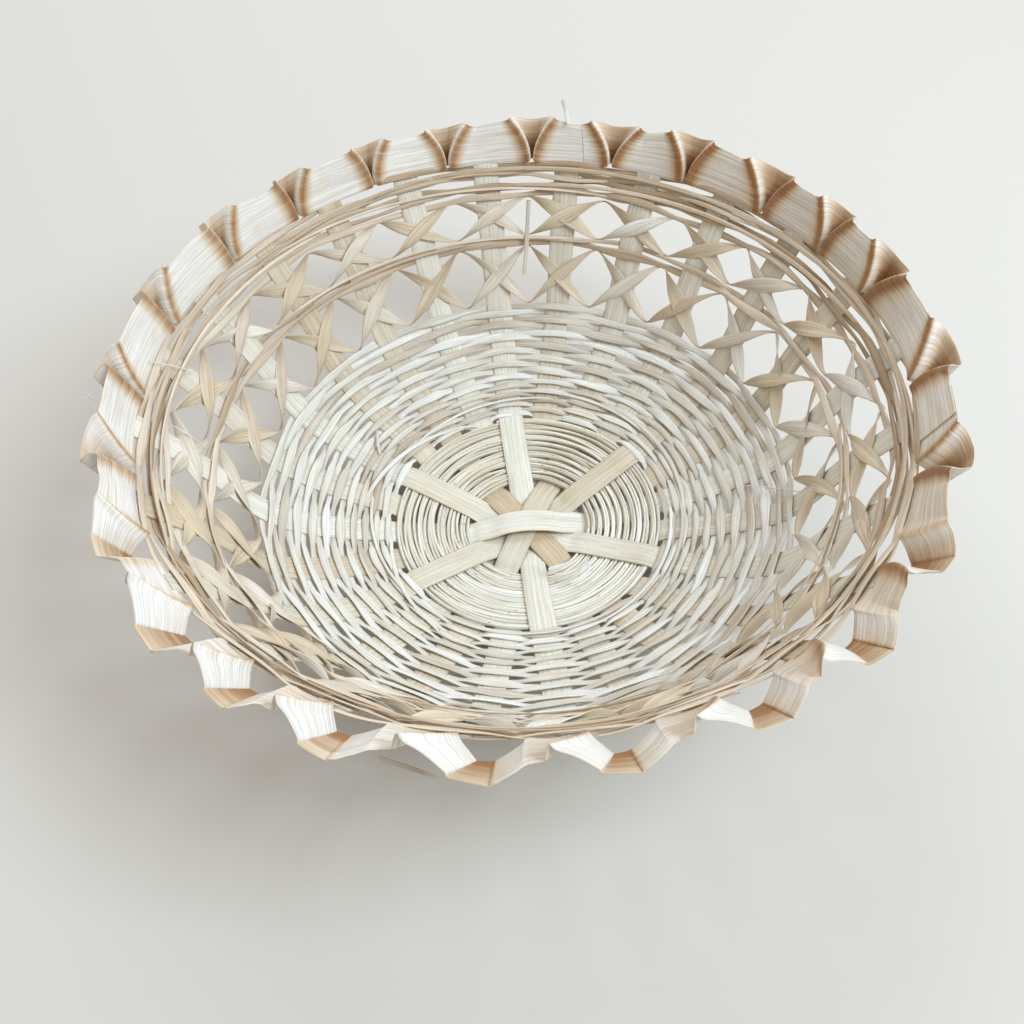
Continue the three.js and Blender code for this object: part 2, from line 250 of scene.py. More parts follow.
@dataclass
class Strand:
    """One splint of bamboo as stations along its middle.

    Attributes:
        at: middle points.
        facing: directions of its outer side.
        width: widths, or one width.
        thickness: thicknesses, or one.
        twist: turn of the section about the strand, in radians.
        tone: lightness of the bamboo from 0 to 1, or one for all.
        closed: whether the end joins the start.
        cup: how far the edges bend away from the outer side, as a share of half the width.
        across: directions across it, where they are not square to its run.
        bow: how far its middle line strays from where it would lie on a flat strand.
        shade: how much lighter its one edge is than its middle, and darker the other, as painted
            highlight and painted shade.
    """

    at: np.ndarray
    facing: np.ndarray
    width: Union[float, np.ndarray]
    thickness: Union[float, np.ndarray]
    twist: Union[float, np.ndarray] = 0.0
    tone: Union[float, np.ndarray] = 0.5
    closed: bool = False
    cup: Union[float, np.ndarray] = 0.0
    across: Union[None, np.ndarray] = None
    bow: Union[float, np.ndarray] = 0.0
    shade: Union[float, np.ndarray] = 0.0

    def frames(self) -> tuple[np.ndarray, np.ndarray]:
        """Directions across and out of the strand at each station."""
        if self.across is not None:
            return self.across, self.facing
        if self.closed:
            along = np.roll(self.at, -1, axis=0) - np.roll(self.at, 1, axis=0)
        else:
            along = np.gradient(self.at, axis=0)
        along = unit(along)
        across = unit(np.cross(along, self.facing))
        out = np.cross(across, along)
        turn = np.broadcast_to(self.twist, len(self.at))[:, None]
        turned = across * np.cos(turn) + out * np.sin(turn)
        return turned, out * np.cos(turn) - across * np.sin(turn)

    def points(self, section: np.ndarray) -> np.ndarray:
        """Corners of the strand's body, one ring of the cross-section after the other."""
        count = len(self.at)
        across, out = self.frames()
        width = np.broadcast_to(self.width, count)[:, None, None] / 2
        thick = np.broadcast_to(self.thickness, count)[:, None, None] / 2
        cup = np.broadcast_to(self.cup, count)[:, None, None] * width
        x = section[None, :, 0, None]
        y = section[None, :, 1, None]
        ring = self.at[:, None] + across[:, None] * x * width
        ring = ring + out[:, None] * (y * thick - cup * (x**2 - CUP_BALANCE))
        bow = np.broadcast_to(self.bow, (count, 3))
        return (ring + bow[:, None] * (1 - x**2)).reshape(-1, 3)

    def marks(self, section: np.ndarray) -> np.ndarray:
        """What the material reads at each corner: tone, outer side and nearness to an edge."""
        count = len(self.at)
        side = np.clip(section[:, 1] * 0.5 + 0.5, 0, 1)
        # Painted highlight and shade: the shade lightens one edge of the strand and darkens the
        # other.
        shade = np.broadcast_to(self.shade, count)[:, None] * section[:, 0]
        tone = np.broadcast_to(self.tone, count)[:, None] + shade
        rim = np.abs(section[:, 0]) + 0 * tone
        return np.stack([tone, side + 0 * tone, rim, np.ones_like(tone)], -1).reshape(-1, 4)

    def sides(self, section: np.ndarray, grain: float) -> tuple[np.ndarray, np.ndarray]:
        """Faces along the strand, and where their corners lie on its strand map.

        Args:
            section: corners of the cross-section.
            grain: where the grain starts, in millimetres along it.

        Returns:
            The faces as rows of four corner numbers, and a pair of along and across for each
            corner of each face.
        """
        count = len(self.at)
        corners = len(section)
        steps = np.linalg.norm(np.roll(self.at, -1, axis=0) - self.at, axis=1)
        reach = np.concatenate([[0], np.cumsum(steps)]) + grain
        k = np.arange(count if self.closed else count - 1)[:, None]
        c = np.arange(corners)[None]
        turn = (c + 1) % corners
        here = k * corners
        ahead = ((k + 1) % count) * corners
        quads = np.stack([here + c, ahead + c, ahead + turn, here + turn], -1)
        u = np.stack([reach[k], reach[k + 1], reach[k + 1], reach[k]], -1) + 0 * quads
        half = float(np.max(self.width)) / 2
        v = half * section[np.stack([c, c, turn, turn], -1), 0] + 0 * quads
        return quads.reshape(-1, 4), np.stack([u, v], -1).reshape(-1, 2)

    def ends(self, section: np.ndarray) -> np.ndarray:
        """Faces that close an open strand, as rows of corner numbers."""
        corners = len(section)
        if self.closed:
            return np.zeros((0, corners), int)
        last = (len(self.at) - 1) * corners
        return np.array([np.arange(corners)[::-1], last + np.arange(corners)])


class PieceMaker:
    """Makes Blender objects from strands and hands them to the frame."""

    def __init__(self) -> None:
        """Starts with an empty list of made pieces."""
        self.made: list[str] = []

    def mesh_of(self, name: str, strands: list[Strand], outline: Outline) -> bpy.types.Mesh:
        """Builds one mesh from strands.

        Args:
            name: name of the mesh.
            strands: the strands in it, each a closed body of its own.
            outline: their cross-section.

        Returns:
            The mesh, with its strand map and its tones.
        """
        section = outline.points()
        points, sides, ends, places, marks = [], [], [], [], []
        first = 0
        for number, strand in enumerate(strands, 1):
            grain = drawn_for(f"{name} {number}").uniform(0, GRAIN_SPREAD)
            faces, spots = strand.sides(section, grain)
            points.append(strand.points(section))
            sides.append(faces + first)
            ends.append(strand.ends(section) + first)
            places.append(spots * METRE)
            marks.append(strand.marks(section))
            first += len(points[-1])
        mesh = bpy.data.meshes.new(name)
        caps = np.concatenate(ends)
        cells = np.concatenate(sides).tolist() + caps.tolist()
        mesh.from_pydata((np.concatenate(points) * METRE).tolist(), [], cells)
        mesh.polygons.foreach_set("use_smooth", np.ones(len(cells), bool))
        strand_map = mesh.uv_layers.new(name="strand")
        flat = np.concatenate([*places, np.zeros((caps.size, 2))])
        strand_map.data.foreach_set("uv", flat.ravel())
        tones = mesh.color_attributes.new(name="tone", type="FLOAT_COLOR", domain="POINT")
        tones.data.foreach_set("color", np.concatenate(marks).ravel())
        if mesh.validate():
            log.warning("%s had faces that Blender put right", name)
        mesh.update()
        return mesh

    def add(
        self,
        name: str,
        strands: list[Strand],
        material: bpy.types.Material,
        slot: str,
        nodes: tuple[str, ...] = (),
        outline: Outline = Outline(),
    ) -> None:
        """Adds one piece to the scene.

        Args:
            name: name of the piece.
            strands: what it is made of.
            material: its finish.
            slot: material slot of the record; not used.
            nodes: CAD nodes that it stands for.
            outline: cross-section of its strands.
        """
        piece = bpy.data.objects.new(name, self.mesh_of(name, strands, outline))
        piece.data.materials.append(material)
        bpy.context.scene.collection.objects.link(piece)
        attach(piece, "root")
        if nodes:
            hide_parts(*nodes)
        self.made.append(name)
        log.info("%s: %d faces", name, len(piece.data.polygons))

    def stand_in(
        self,
        node: str,
        strand: Strand,
        material: bpy.types.Material,
        slot: str,
        outline: Outline,
    ) -> None:
        """Adds one strand that is shown in place of a CAD node."""
        self.add(f"{node}_bamboo", [strand], material, slot, (node,), outline)


class Sock:
    """A shader socket that takes part in Python arithmetic."""

    def __init__(self, nodes: "NodeMaker", socket: bpy.types.NodeSocket) -> None:
        """Holds a socket and the maker of its tree."""
        self.nodes = nodes
        self.socket = socket

    def _join(self, operation: str, left: Any, right: Any) -> "Sock":
        """Adds the node for one operation on values, vectors or colours."""
        kinds = {s.socket.type for s in (left, right) if isinstance(s, Sock)}
        if "RGBA" in kinds:
            return self.nodes.mix(operation, left, right)
        if "VECTOR" in kinds:
            return self.nodes.make("ShaderNodeVectorMath", {"operation": operation}, [left, right])
        return self.nodes.make("ShaderNodeMath", {"operation": operation}, [left, right])

    def __add__(self, other: Any) -> "Sock":
        """Sum of this socket and another or a number."""
        return self._join("ADD", self, other)

    def __radd__(self, other: Any) -> "Sock":
        """Sum of a number and this socket."""
        return self._join("ADD", other, self)

    def __sub__(self, other: Any) -> "Sock":
        """This socket less another or a number."""
        return self._join("SUBTRACT", self, other)

    def __rsub__(self, other: Any) -> "Sock":
        """A number less this socket."""
        return self._join("SUBTRACT", other, self)

    def __mul__(self, other: Any) -> "Sock":
        """Product of this socket and another or a number."""
        return self._join("MULTIPLY", self, other)

    def __rmul__(self, other: Any) -> "Sock":
        """Product of a number and this socket."""
        return self._join("MULTIPLY", other, self)


class NodeMaker:
    """Adds nodes to one material's tree."""

    def __init__(self, tree: bpy.types.NodeTree) -> None:
        """Clears the tree and takes it over."""
        self.tree = tree
        tree.nodes.clear()

    def make(
        self,
        kind: str,
        settings: Union[None, dict] = None,
        values: Union[None, dict, list] = None,
        output: Union[int, str] = 0,
    ) -> Sock:
        """Adds a node.

        Args:
            kind: the node's type.
            settings: its properties, set first. The stops of a ramp are pairs of place and
                colour under "stops".
            values: values or links of its sockets, by name or in order.
            output: the output that is handed back.

        Returns:
            The output, wrapped for arithmetic.
        """
        node = self.tree.nodes.new(kind)
        for key, value in (settings or {}).items():
            if key == "stops":
                self._set_stops(node.color_ramp, value)
            else:
                setattr(node, key, value)
        pairs = values.items() if isinstance(values, dict) else enumerate(values or [])
        for key, value in pairs:
            if isinstance(value, Sock):
                self.tree.links.new(value.socket, node.inputs[key])
            else:
                node.inputs[key].default_value = value
        return Sock(self, node.outputs[output]) if node.outputs else Sock(self, None)

    @staticmethod
    def _set_stops(ramp: bpy.types.ColorRamp, stops: list) -> None:
        """Gives a colour ramp its stops."""
        while len(ramp.elements) < len(stops):
            ramp.elements.new(0.5)
        for element, (place, colour) in zip(ramp.elements, stops):
            element.position = place
            element.color = colour

    def mix(self, blend: str, left: Any, right: Any, factor: Any = 1.0) -> Sock:
        """Mixes two colours.

        Args:
            blend: the way of mixing.
            left: first colour.
            right: second colour.
            factor: how much of the mixing shows.

        Returns:
            The mixed colour.
        """
        settings = {"data_type": "RGBA", "blend_type": blend, "clamp_factor": True}
        return self.make("ShaderNodeMix", settings, {0: factor, 6: left, 7: right}, output=2)

    def spread(self, value: Sock, low: float, high: float) -> Sock:
        """Maps low..high of a value to 0..1, smoothly and clipped."""
        settings = {"interpolation_type": "SMOOTHSTEP"}
        return self.make("ShaderNodeMapRange", settings, {0: value, 1: low, 2: high})


@dataclass(frozen=True)
class Pattern:
    """A random pattern on the bamboo.

    Attributes:
        along: cells in a metre along the strand.
        across: cells in a metre across it.
        detail: how many finer patterns are laid over it.
        roughness: how strong these are.
        low: value from which it shows.
        high: value from which it shows in full.
        depth: how strongly it colours the surface.
        relief: its share of the surface's relief.
    """

    along: float
    across: float
    detail: float
    roughness: float
    low: float
    high: float
    depth: float
    relief: float = 0.0


LINES = Pattern(28, 1000, 3.0, 0.62, 0.34, 0.66, 0.3, 0.7)
HAIRS = Pattern(90, 2600, 2.0, 0.6, 0.3, 0.62, 0.16, 0.3)
STREAKS = Pattern(16, 420, 3.0, 0.6, 0.55, 0.75, 0.7)
BLOTCHES = Pattern(95, 130, 3.0, 0.55, 0.52, 0.78, 0.55, 0.5)
SPECKS = Pattern(420, 1700, 2.0, 0.6, 0.69, 0.76, 1.0)
STREAK_TINT = (0.14, 0.13, 0.11, 1)
BLOTCH_TINT = (0.96, 0.87, 0.74, 1)
SPECK_TINT = (0.5, 0.36, 0.24, 1)


@dataclass(frozen=True)
class BambooFinish:
    """Split bamboo as one family of strands shows it.

    Attributes:
        pale: colour of the lightest strands.
        middle: colour of the usual strands.
        deep: colour of the darkest strands.
        under: tint of the inner side of the splint.
        under_tone: lightness that the inner side tends to.
        edge: tint of the painted shade along the edges.
        lines_per_mm: fine lines side by side in a millimetre.
        line_depth: how strongly the fine lines colour the surface.
        fleck: how many small dark flecks there are, from 0 to 1.
        roughness: the surface's roughness.
        gloss: strength of its thin, waxy coat.
        coat_roughness: that coat's roughness.
        shine: strength of the bare surface's highlights.
        relief: depth of the fine lines in metres.
        under_share: how far the inner side goes to its own lightness.
        under_turn: place on the section's side where the inner side starts and is complete.
        edge_shade_start: how far out the painted shade along the edges starts, as a share of half
            the width.
        edge_shade_share: how strongly that painted shade shows.
        streak_swing: how much the streaks change the lightness.
        blotch_roughness: how much rougher the blotches are.
        line_roughness: how much rougher the surface is between the fine lines.
    """

    pale: tuple
    middle: tuple
    deep: tuple
    under: tuple
    edge: tuple
    under_tone: float = 0.45
    lines_per_mm: float = 2.6
    line_depth: float = 0.8
    fleck: float = 0.3
    roughness: float = 0.55
    gloss: float = 0.1
    coat_roughness: float = 0.32
    shine: float = 0.35
    relief: float = 0.00006
    under_share: float = 0.8
    under_turn: tuple = (0.6, 0.3)
    edge_shade_start: float = 0.86
    edge_shade_share: float = 0.8
    streak_swing: float = 0.5
    blotch_roughness: float = 0.16
    line_roughness: float = 0.1

    def material(self, name: str) -> bpy.types.Material:
        """Builds the material.

        Args:
            name: name of the material.

        Returns:
            A node material that reads the strand map and the tones of a mesh.
        """
        material = bpy.data.materials.new(name)
        material.use_nodes = True
        nodes = NodeMaker(material.node_tree)
        where = nodes.make("ShaderNodeUVMap", {"uv_map": "strand"})
        marks = nodes.make("ShaderNodeAttribute", {"attribute_name": "tone"})
        tone, side, rim = (
            nodes.make("ShaderNodeSeparateColor", {"mode": "RGB"}, [marks], output=number)
            for number in range(3)
        )

        def shown(pattern: Pattern, density: float = 1.0) -> tuple[Sock, Sock]:
            """A pattern's values and how much of it shows, with so many times its cells across."""
            cells = where * (pattern.along, pattern.across * density, 0.0)
            look = {"Detail": pattern.detail, "Roughness": pattern.roughness}
            values = {"Vector": cells, "Scale": 1.0, **look}
            noise = nodes.make("ShaderNodeTexNoise", {"noise_dimensions": "2D"}, values)
            return noise, nodes.spread(noise, pattern.low, pattern.high)

        _, fine = shown(LINES, self.lines_per_mm)
        _, hair = shown(HAIRS, self.lines_per_mm)
        streaks, bright = shown(STREAKS)
        blotches, warm = shown(BLOTCHES)
        _, dark = shown(SPECKS)
        back = nodes.spread(side, *self.under_turn)
        edge = nodes.spread(rim, self.edge_shade_start, 1.0)

        seen = tone + back * (self.under_tone - tone) * self.under_share
        seen = seen + (streaks - 0.5) * self.streak_swing
        stops = [(0.0, self.deep), (0.5, self.middle), (1.0, self.pale)]
        body = nodes.make("ShaderNodeValToRGB", {"stops": stops}, [seen])
        lines = LINES.depth * (1.0 - fine) + HAIRS.depth * (1.0 - hair)
        grey = [1.0 - self.line_depth * lines] * 3
        body = body * nodes.make("ShaderNodeCombineColor", {"mode": "RGB"}, grey)
        body = nodes.mix("MULTIPLY", body, BLOTCH_TINT, warm * BLOTCHES.depth)
        body = nodes.mix("SCREEN", body, STREAK_TINT, bright * STREAKS.depth)
        body = nodes.mix("MULTIPLY", body, SPECK_TINT, dark * SPECKS.depth * self.fleck)
        body = nodes.mix("MIX", body, body * self.under, back)
        # Painted shade: the edges of each strand are darkened with the edge tint.
        body = nodes.mix("MIX", body, body * self.edge, edge * self.edge_shade_share)

        height = fine * LINES.relief + hair * HAIRS.relief + blotches * BLOTCHES.relief
        relief = {"Strength": 1.0, "Distance": self.relief, "Height": height}
        uneven = self.blotch_roughness * (blotches - 0.5) + self.line_roughness * (1.0 - fine)
        surface = {
            "Base Color": body,
            "Roughness": self.roughness + uneven,
            "Specular IOR Level": self.shine,
            "Coat Weight": self.gloss,
            "Coat Roughness": self.coat_roughness,
            "Normal": nodes.make("ShaderNodeBump", {}, relief),
        }
        shader = nodes.make("ShaderNodeBsdfPrincipled", {}, surface)
        nodes.make("ShaderNodeOutputMaterial", {}, [shader])
        return material


@dataclass
class BaseStrips:
    """Six strips that cross under the middle and stand as twelve of the stakes.

    Attributes:
        order: the strips from the lowest to the highest at the crossing.
        tones: lightness of each strip.
        flat: how far from the axis a strip keeps its own height at the crossing.
        even: how far from the axis the strips have come to one height.
        parting: room between neighbours where they part.
        inner_room: room between the coil and the bend of a strip before it.
        outer_room: the same behind it.
        coil_slope: rise of the coil's middle for each step outward.
        over_coil: height of a strip above that middle where it passes over the coil.
        under_coil: its depth below that middle where it passes under the coil.
        wall_start: distance where the stakes have come to lie on the wall.
        tail: how far a stake stands above the rim at the back.
        front_tail: the same at the front.
        blur: how far the bends of a strip are rounded.
        bow: how far the highest strip stands off the others.
        sway: how far a strip strays sideways.
        unevenness: how much its width varies.
        sway_run: length of strip that matches one stake in its sway.
        width_run: the same for its width.
        tone_run: the same for its tone.
    """

    wall: Wall
    maker: PieceMaker
    outline: Outline = Outline(edge=0.05, crown=0.3)
    order: tuple = (0, 4, 2, 1, 5, 3)
    tones: tuple = (0.85, 0.12, 0.62, 1.0, 0.45, 0.4)
    flat: float = 7.5
    even: float = 12.0
    parting: float = 0.3
    stack_gap: float = 0.15
    coil_inner: float = 19.2
    coil_outer: float = 43.0
    inner_room: float = 0.9
    outer_room: float = 0.4
    coil_middle: float = 1.95
    coil_slope: float = 0.22
    over_coil: float = 1.15
    under_coil: float = 1.3
    wall_start: float = 2.5
    wall_step: float = 0.5
    tail: float = 5.0
    front_tail: float = 0.2
    step: float = 0.7
    blur: float = 1.6
    bow: float = 2.3
    bow_middle: float = 1.5
    bow_reach: float = 17.0
    sway: float = 0.25
    unevenness: float = 0.18
    tone_spread: float = 0.1
    sway_run: float = 12.0
    width_run: float = 14.0
    tone_run: float = 20.0

    def coil_height(self, radius: np.ndarray) -> np.ndarray:
        """Height of the middle of the coil at a radius."""
        return self.coil_middle + (radius - self.coil_inner) * self.coil_slope

    def stack_height(self, level: float) -> float:
        """Height of the middle of a strip at a level of the crossing."""
        return STAKE_THICKNESS / 2 + level * (STAKE_THICKNESS + self.stack_gap)

    def beside_coil(self, radius: float, side: Side) -> tuple[float, float]:
        """A point of a strip that passes over or under the coil."""
        if side is Side.INSIDE:
            edge = math.hypot(radius, STAKE_WIDTH / 2)
            return radius, self.coil_height(edge) + self.over_coil
        return radius, self.coil_height(radius) - self.under_coil

    def standing(self, stake: int) -> np.ndarray:
        """Path of a stake up the wall, whose tail is short where the ribbon leans outward."""
        tail = self.tail + (self.front_tail - self.tail) * front_share(stake)
        reach = np.arange(self.wall_start, RIM_DISTANCE + tail, self.wall_step)
        return self.wall.section(reach)[0]

    def half_path(self, level: int, side: Side, stake: int) -> np.ndarray:
        """Path of half a strip, from the crossing to its tail above the band.

        Args:
            level: its level at the crossing.
            side: whether it passes over or under the coil.
            stake: the stake that it stands as.

        Returns:
            Points of distance from the axis and height.
        """
        upper = len(self.order) / 2
        evened = upper - 1 if side is Side.INSIDE else upper
        parted = STAKE_WIDTH / 2 / math.tan(STAKE_STEP) + self.parting
        start = [
            (0.0, self.stack_height(level)),
            (self.flat, self.stack_height(level)),
            (self.even, self.stack_height(evened)),
            (parted, self.stack_height(evened)),
            self.beside_coil(self.coil_inner - self.inner_room, side),
            self.beside_coil(self.coil_outer + self.outer_room, side),
        ]
        return np.concatenate([np.array(start), self.standing(stake)])

    def strand(self, name: str, stake: int, path: np.ndarray, look: tuple) -> Strand:
        """A strip or a stake that follows a path.

        Args:
            name: what its random draws belong to.
            stake: the stake that the path runs towards.
            path: points of distance from the axis and height.
            look: its tone, how far it strays sideways and how much its width varies.

        Returns:
            The strand.
        """
        tone, sway, unevenness = look
        draws = drawn_for(name)
        out, beside = directions(stake)
        along = path[:, 0]
        stray = Wander(draws, sway, fastest=4).at(along / self.sway_run)
        at = path[:, :1] * out + stray[:, None] * beside + path[:, 1:] * UP
        slope = unit(np.gradient(path, axis=0))
        facing = -slope[:, 1:] * out + slope[:, :1] * UP
        width = STAKE_WIDTH + Wander(draws, unevenness, fastest=5).at(along / self.width_run)
        tones = tone + Wander(draws, self.tone_spread, fastest=6).at(along / self.tone_run)
        return Strand(at, facing, width, STAKE_THICKNESS, tone=tones)

    def strip(self, k: int) -> Strand:
        """One whole strip from rim to rim."""
        side = Side.INSIDE if k % 2 == 0 else Side.OUTSIDE
        level = self.order.index(k)
        near = self.half_path(level, side, 2 * k)
        far = self.half_path(level, side, 2 * k + STAKE_COUNT // 2)
        path = smoothed(np.concatenate([far[:0:-1] * [-1, 1], near]), self.step, self.blur)
        if k == self.order[-1]:
            apart = np.abs(path[:, 0] - self.bow_middle)
            path[:, 1] += self.bow * ease(1 - apart / self.bow_reach)
        look = (self.tones[k], self.sway, self.unevenness)
        return self.strand(f"base strip {k}", 2 * k, path, look)

    def build(self, material: bpy.types.Material) -> None:
        """Makes the six strips."""
        for k in range(len(self.order)):
            node = f"base_strip_{k + 1}"
            self.maker.stand_in(node, self.strip(k), material, "stake", self.outline)


def through(knots: np.ndarray, between: int) -> np.ndarray:
    """Points of a smooth curve through knots.

    Args:
        knots: rows of coordinates.
        between: steps from each knot to the next.

    Returns:
        The curve's points, from the first knot to the last.
    """
    padded = np.concatenate([knots[:1], knots, knots[-1:]])
    place = np.arange((len(knots) - 1) * between + 1) / between
    span = np.minimum(place.astype(int), len(knots) - 2)
    t = (place - span)[:, None]
    before, first, second, after = (padded[span + k] for k in range(4))
    pull = (second - before) / 2
    push = (after - first) / 2
    return (
        (2 * first - 2 * second + pull + push) * t**3
        + (-3 * first + 3 * second - 2 * pull - push) * t**2
        + pull * t
        + first
    )


def smoothed(path: np.ndarray, step: float, blur: float) -> np.ndarray:
    """Resamples a path evenly and rounds its corners.

    Args:
        path: points of the path.
        step: distance between the new points.
        blur: how far the rounding reaches, in units of length.

    Returns:
        The new points, with the ends where they were.
    """
    lengths = np.concatenate([[0], np.cumsum(np.linalg.norm(np.diff(path, axis=0), axis=1))])
    count = int(lengths[-1] / step) + 1
    reach = np.linspace(0, lengths[-1], count)
    even = np.stack([np.interp(reach, lengths, part) for part in path.T], -1)
    spread = int(3 * blur / step)
    weights = np.exp(-0.5 * (np.arange(-spread, spread + 1) * step / blur) ** 2)
    weights /= weights.sum()
    head = 2 * even[:1] - even[spread:0:-1]
    foot = 2 * even[-1:] - even[-2 : -spread - 2 : -1]
    padded = np.concatenate([head, even, foot])
    return np.stack([np.convolve(part, weights, "valid") for part in padded.T], -1)


@dataclass
class SideStakes:
    """Twelve stakes tucked in under the edge of the coil, between the base strips.

    Attributes:
        base: the base strips, whose measures they share.
        tones: lightness of each stake.
        tuck: how far they reach in under the coil.
        blur: how far their bends are rounded.
        sway: how far they stray sideways.
        unevenness: how much their width varies.
    """

    base: BaseStrips
    maker: PieceMaker
    tones: tuple = (0.7, 0.3, 0.55, 0.2, 0.45, 0.75, 0.5, 0.35, 0.6, 0.4, 0.55, 0.3)
    tuck: float = 6.2
    blur: float = 1.2
    sway: float = 0.3
    unevenness: float = 0.2

    def stake(self, k: int) -> Strand:
        """One side stake."""
        base = self.base
        stake = 2 * k + 1
        start = base.coil_outer + base.outer_room
        under = [base.beside_coil(radius, Side.OUTSIDE) for radius in (start - self.tuck, start)]
        path = smoothed(np.concatenate([under, base.standing(stake)]), base.step, self.blur)
        look = (self.tones[k], self.sway, self.unevenness)
        return base.strand(f"side stake {k}", stake, path, look)

    def build(self, material: bpy.types.Material) -> None:
        """Makes the twelve stakes."""
        for k in range(len(self.tones)):
            node = f"side_stake_{k + 1}"
            self.maker.stand_in(node, self.stake(k), material, "stake", self.base.outline)


@dataclass
class BaseCoil:
    """One thin splint wound on edge round the crossing.

    Attributes:
        base: the base strips that it passes over and under.
        loops: turns of the winding.
        steps: stations in each turn.
        reach: radius of its outermost turn.
        height: width of the splint, which stands upright.
        shadow: gap between two turns.
        opening: how much wider the gap is in some places.
        opening_start: height of a wandering line where the gap starts to widen.
        drift: how far neighbouring turns stray in and out together.
        rates: how this straying changes from turn to turn, as pairs of rate and start.
        settling: turns at either end over which it fades out.
        rise: how far single turns stand above or below the others.
        waver: how much height and tone vary within a turn.
        shades: lowest and highest lightness of a turn.
        lean: how far the splint tips over.
        shifts: how far round the patterns of gap, height, tone and lean move in each turn.
    """

    base: BaseStrips
    maker: PieceMaker
    outline: Outline = Outline(edge=0.3, crown=0.1)
    loops: int = 22
    steps: int = 120
    reach: float = 44.1
    height: float = 1.5
    shadow: float = 0.11
    opening: float = 0.2
    opening_start: float = 0.6
    drift: float = 0.176
    rates: tuple = ((0.9, 0.3), (1.9, 2.0), (3.1, 4.0))
    settling: float = 1.5
    rise: float = 0.16
    waver: float = 0.12
    shades: tuple = (0.4, 1.1)
    lean: float = 0.25
    shifts: tuple = (7.3, 5.1, 3.7, 2.3)

    def splint(self) -> Strand:
        """The whole winding as one strand."""
        draws = drawn_for("coil")
        inner = self.base.coil_inner
        pitch = (self.reach - inner) / (self.loops + 1)
        turns = np.arange(self.loops * self.steps + 1) / self.steps
        loop = np.floor(turns).astype(int)
        blend = ease(turns - loop)
        stake = 0.5 + turns * STAKE_COUNT
        gap_place, height_place, tone_place, lean_place = (
            stake + turns * shift for shift in self.shifts
        )

        def by_turn(values: np.ndarray) -> np.ndarray:
            """One value for each turn, passing smoothly into the next."""
            return values[loop] * (1 - blend) + values[loop + 1] * blend

        drift = sum(
            Wander(draws, self.drift, fastest=5).at(stake) * np.cos(turns * rate + start)
            for rate, start in self.rates
        )
        settled = ease(np.minimum(turns, self.loops - turns) / self.settling)
        radius = inner + pitch * (turns + 0.5) + drift * settled
        opened = ease(Wander(draws, 1.0, 3, 17).at(gap_place) - self.opening_start)
        lift = by_turn(draws.normal(0, self.rise, self.loops + 2))
        lift = lift + Wander(draws, self.waver, 2, 11).at(height_place)
        tone = by_turn(draws.uniform(*self.shades, self.loops + 2))
        tone = tone + Wander(draws, self.waver, 1, 9).at(tone_place)
        lean = Wander(draws, self.lean, 1, 7).at(lean_place)[:, None]
        turn = angle_of(stake)
        out = np.stack([np.cos(turn), np.sin(turn), 0 * turn], -1)
        at = out * radius[:, None] + UP * (self.base.coil_height(radius) + lift)[:, None]
        facing = out * np.cos(lean) + UP * np.sin(lean)
        across = UP * np.cos(lean) - out * np.sin(lean)
        thick = pitch - self.shadow - self.opening * opened
        return Strand(at, facing, self.height, thick, tone=tone, across=across)

    def build(self, material: bpy.types.Material) -> None:
        """Makes the coil."""
        self.maker.stand_in("base_coil", self.splint(), material, "coil", self.outline)


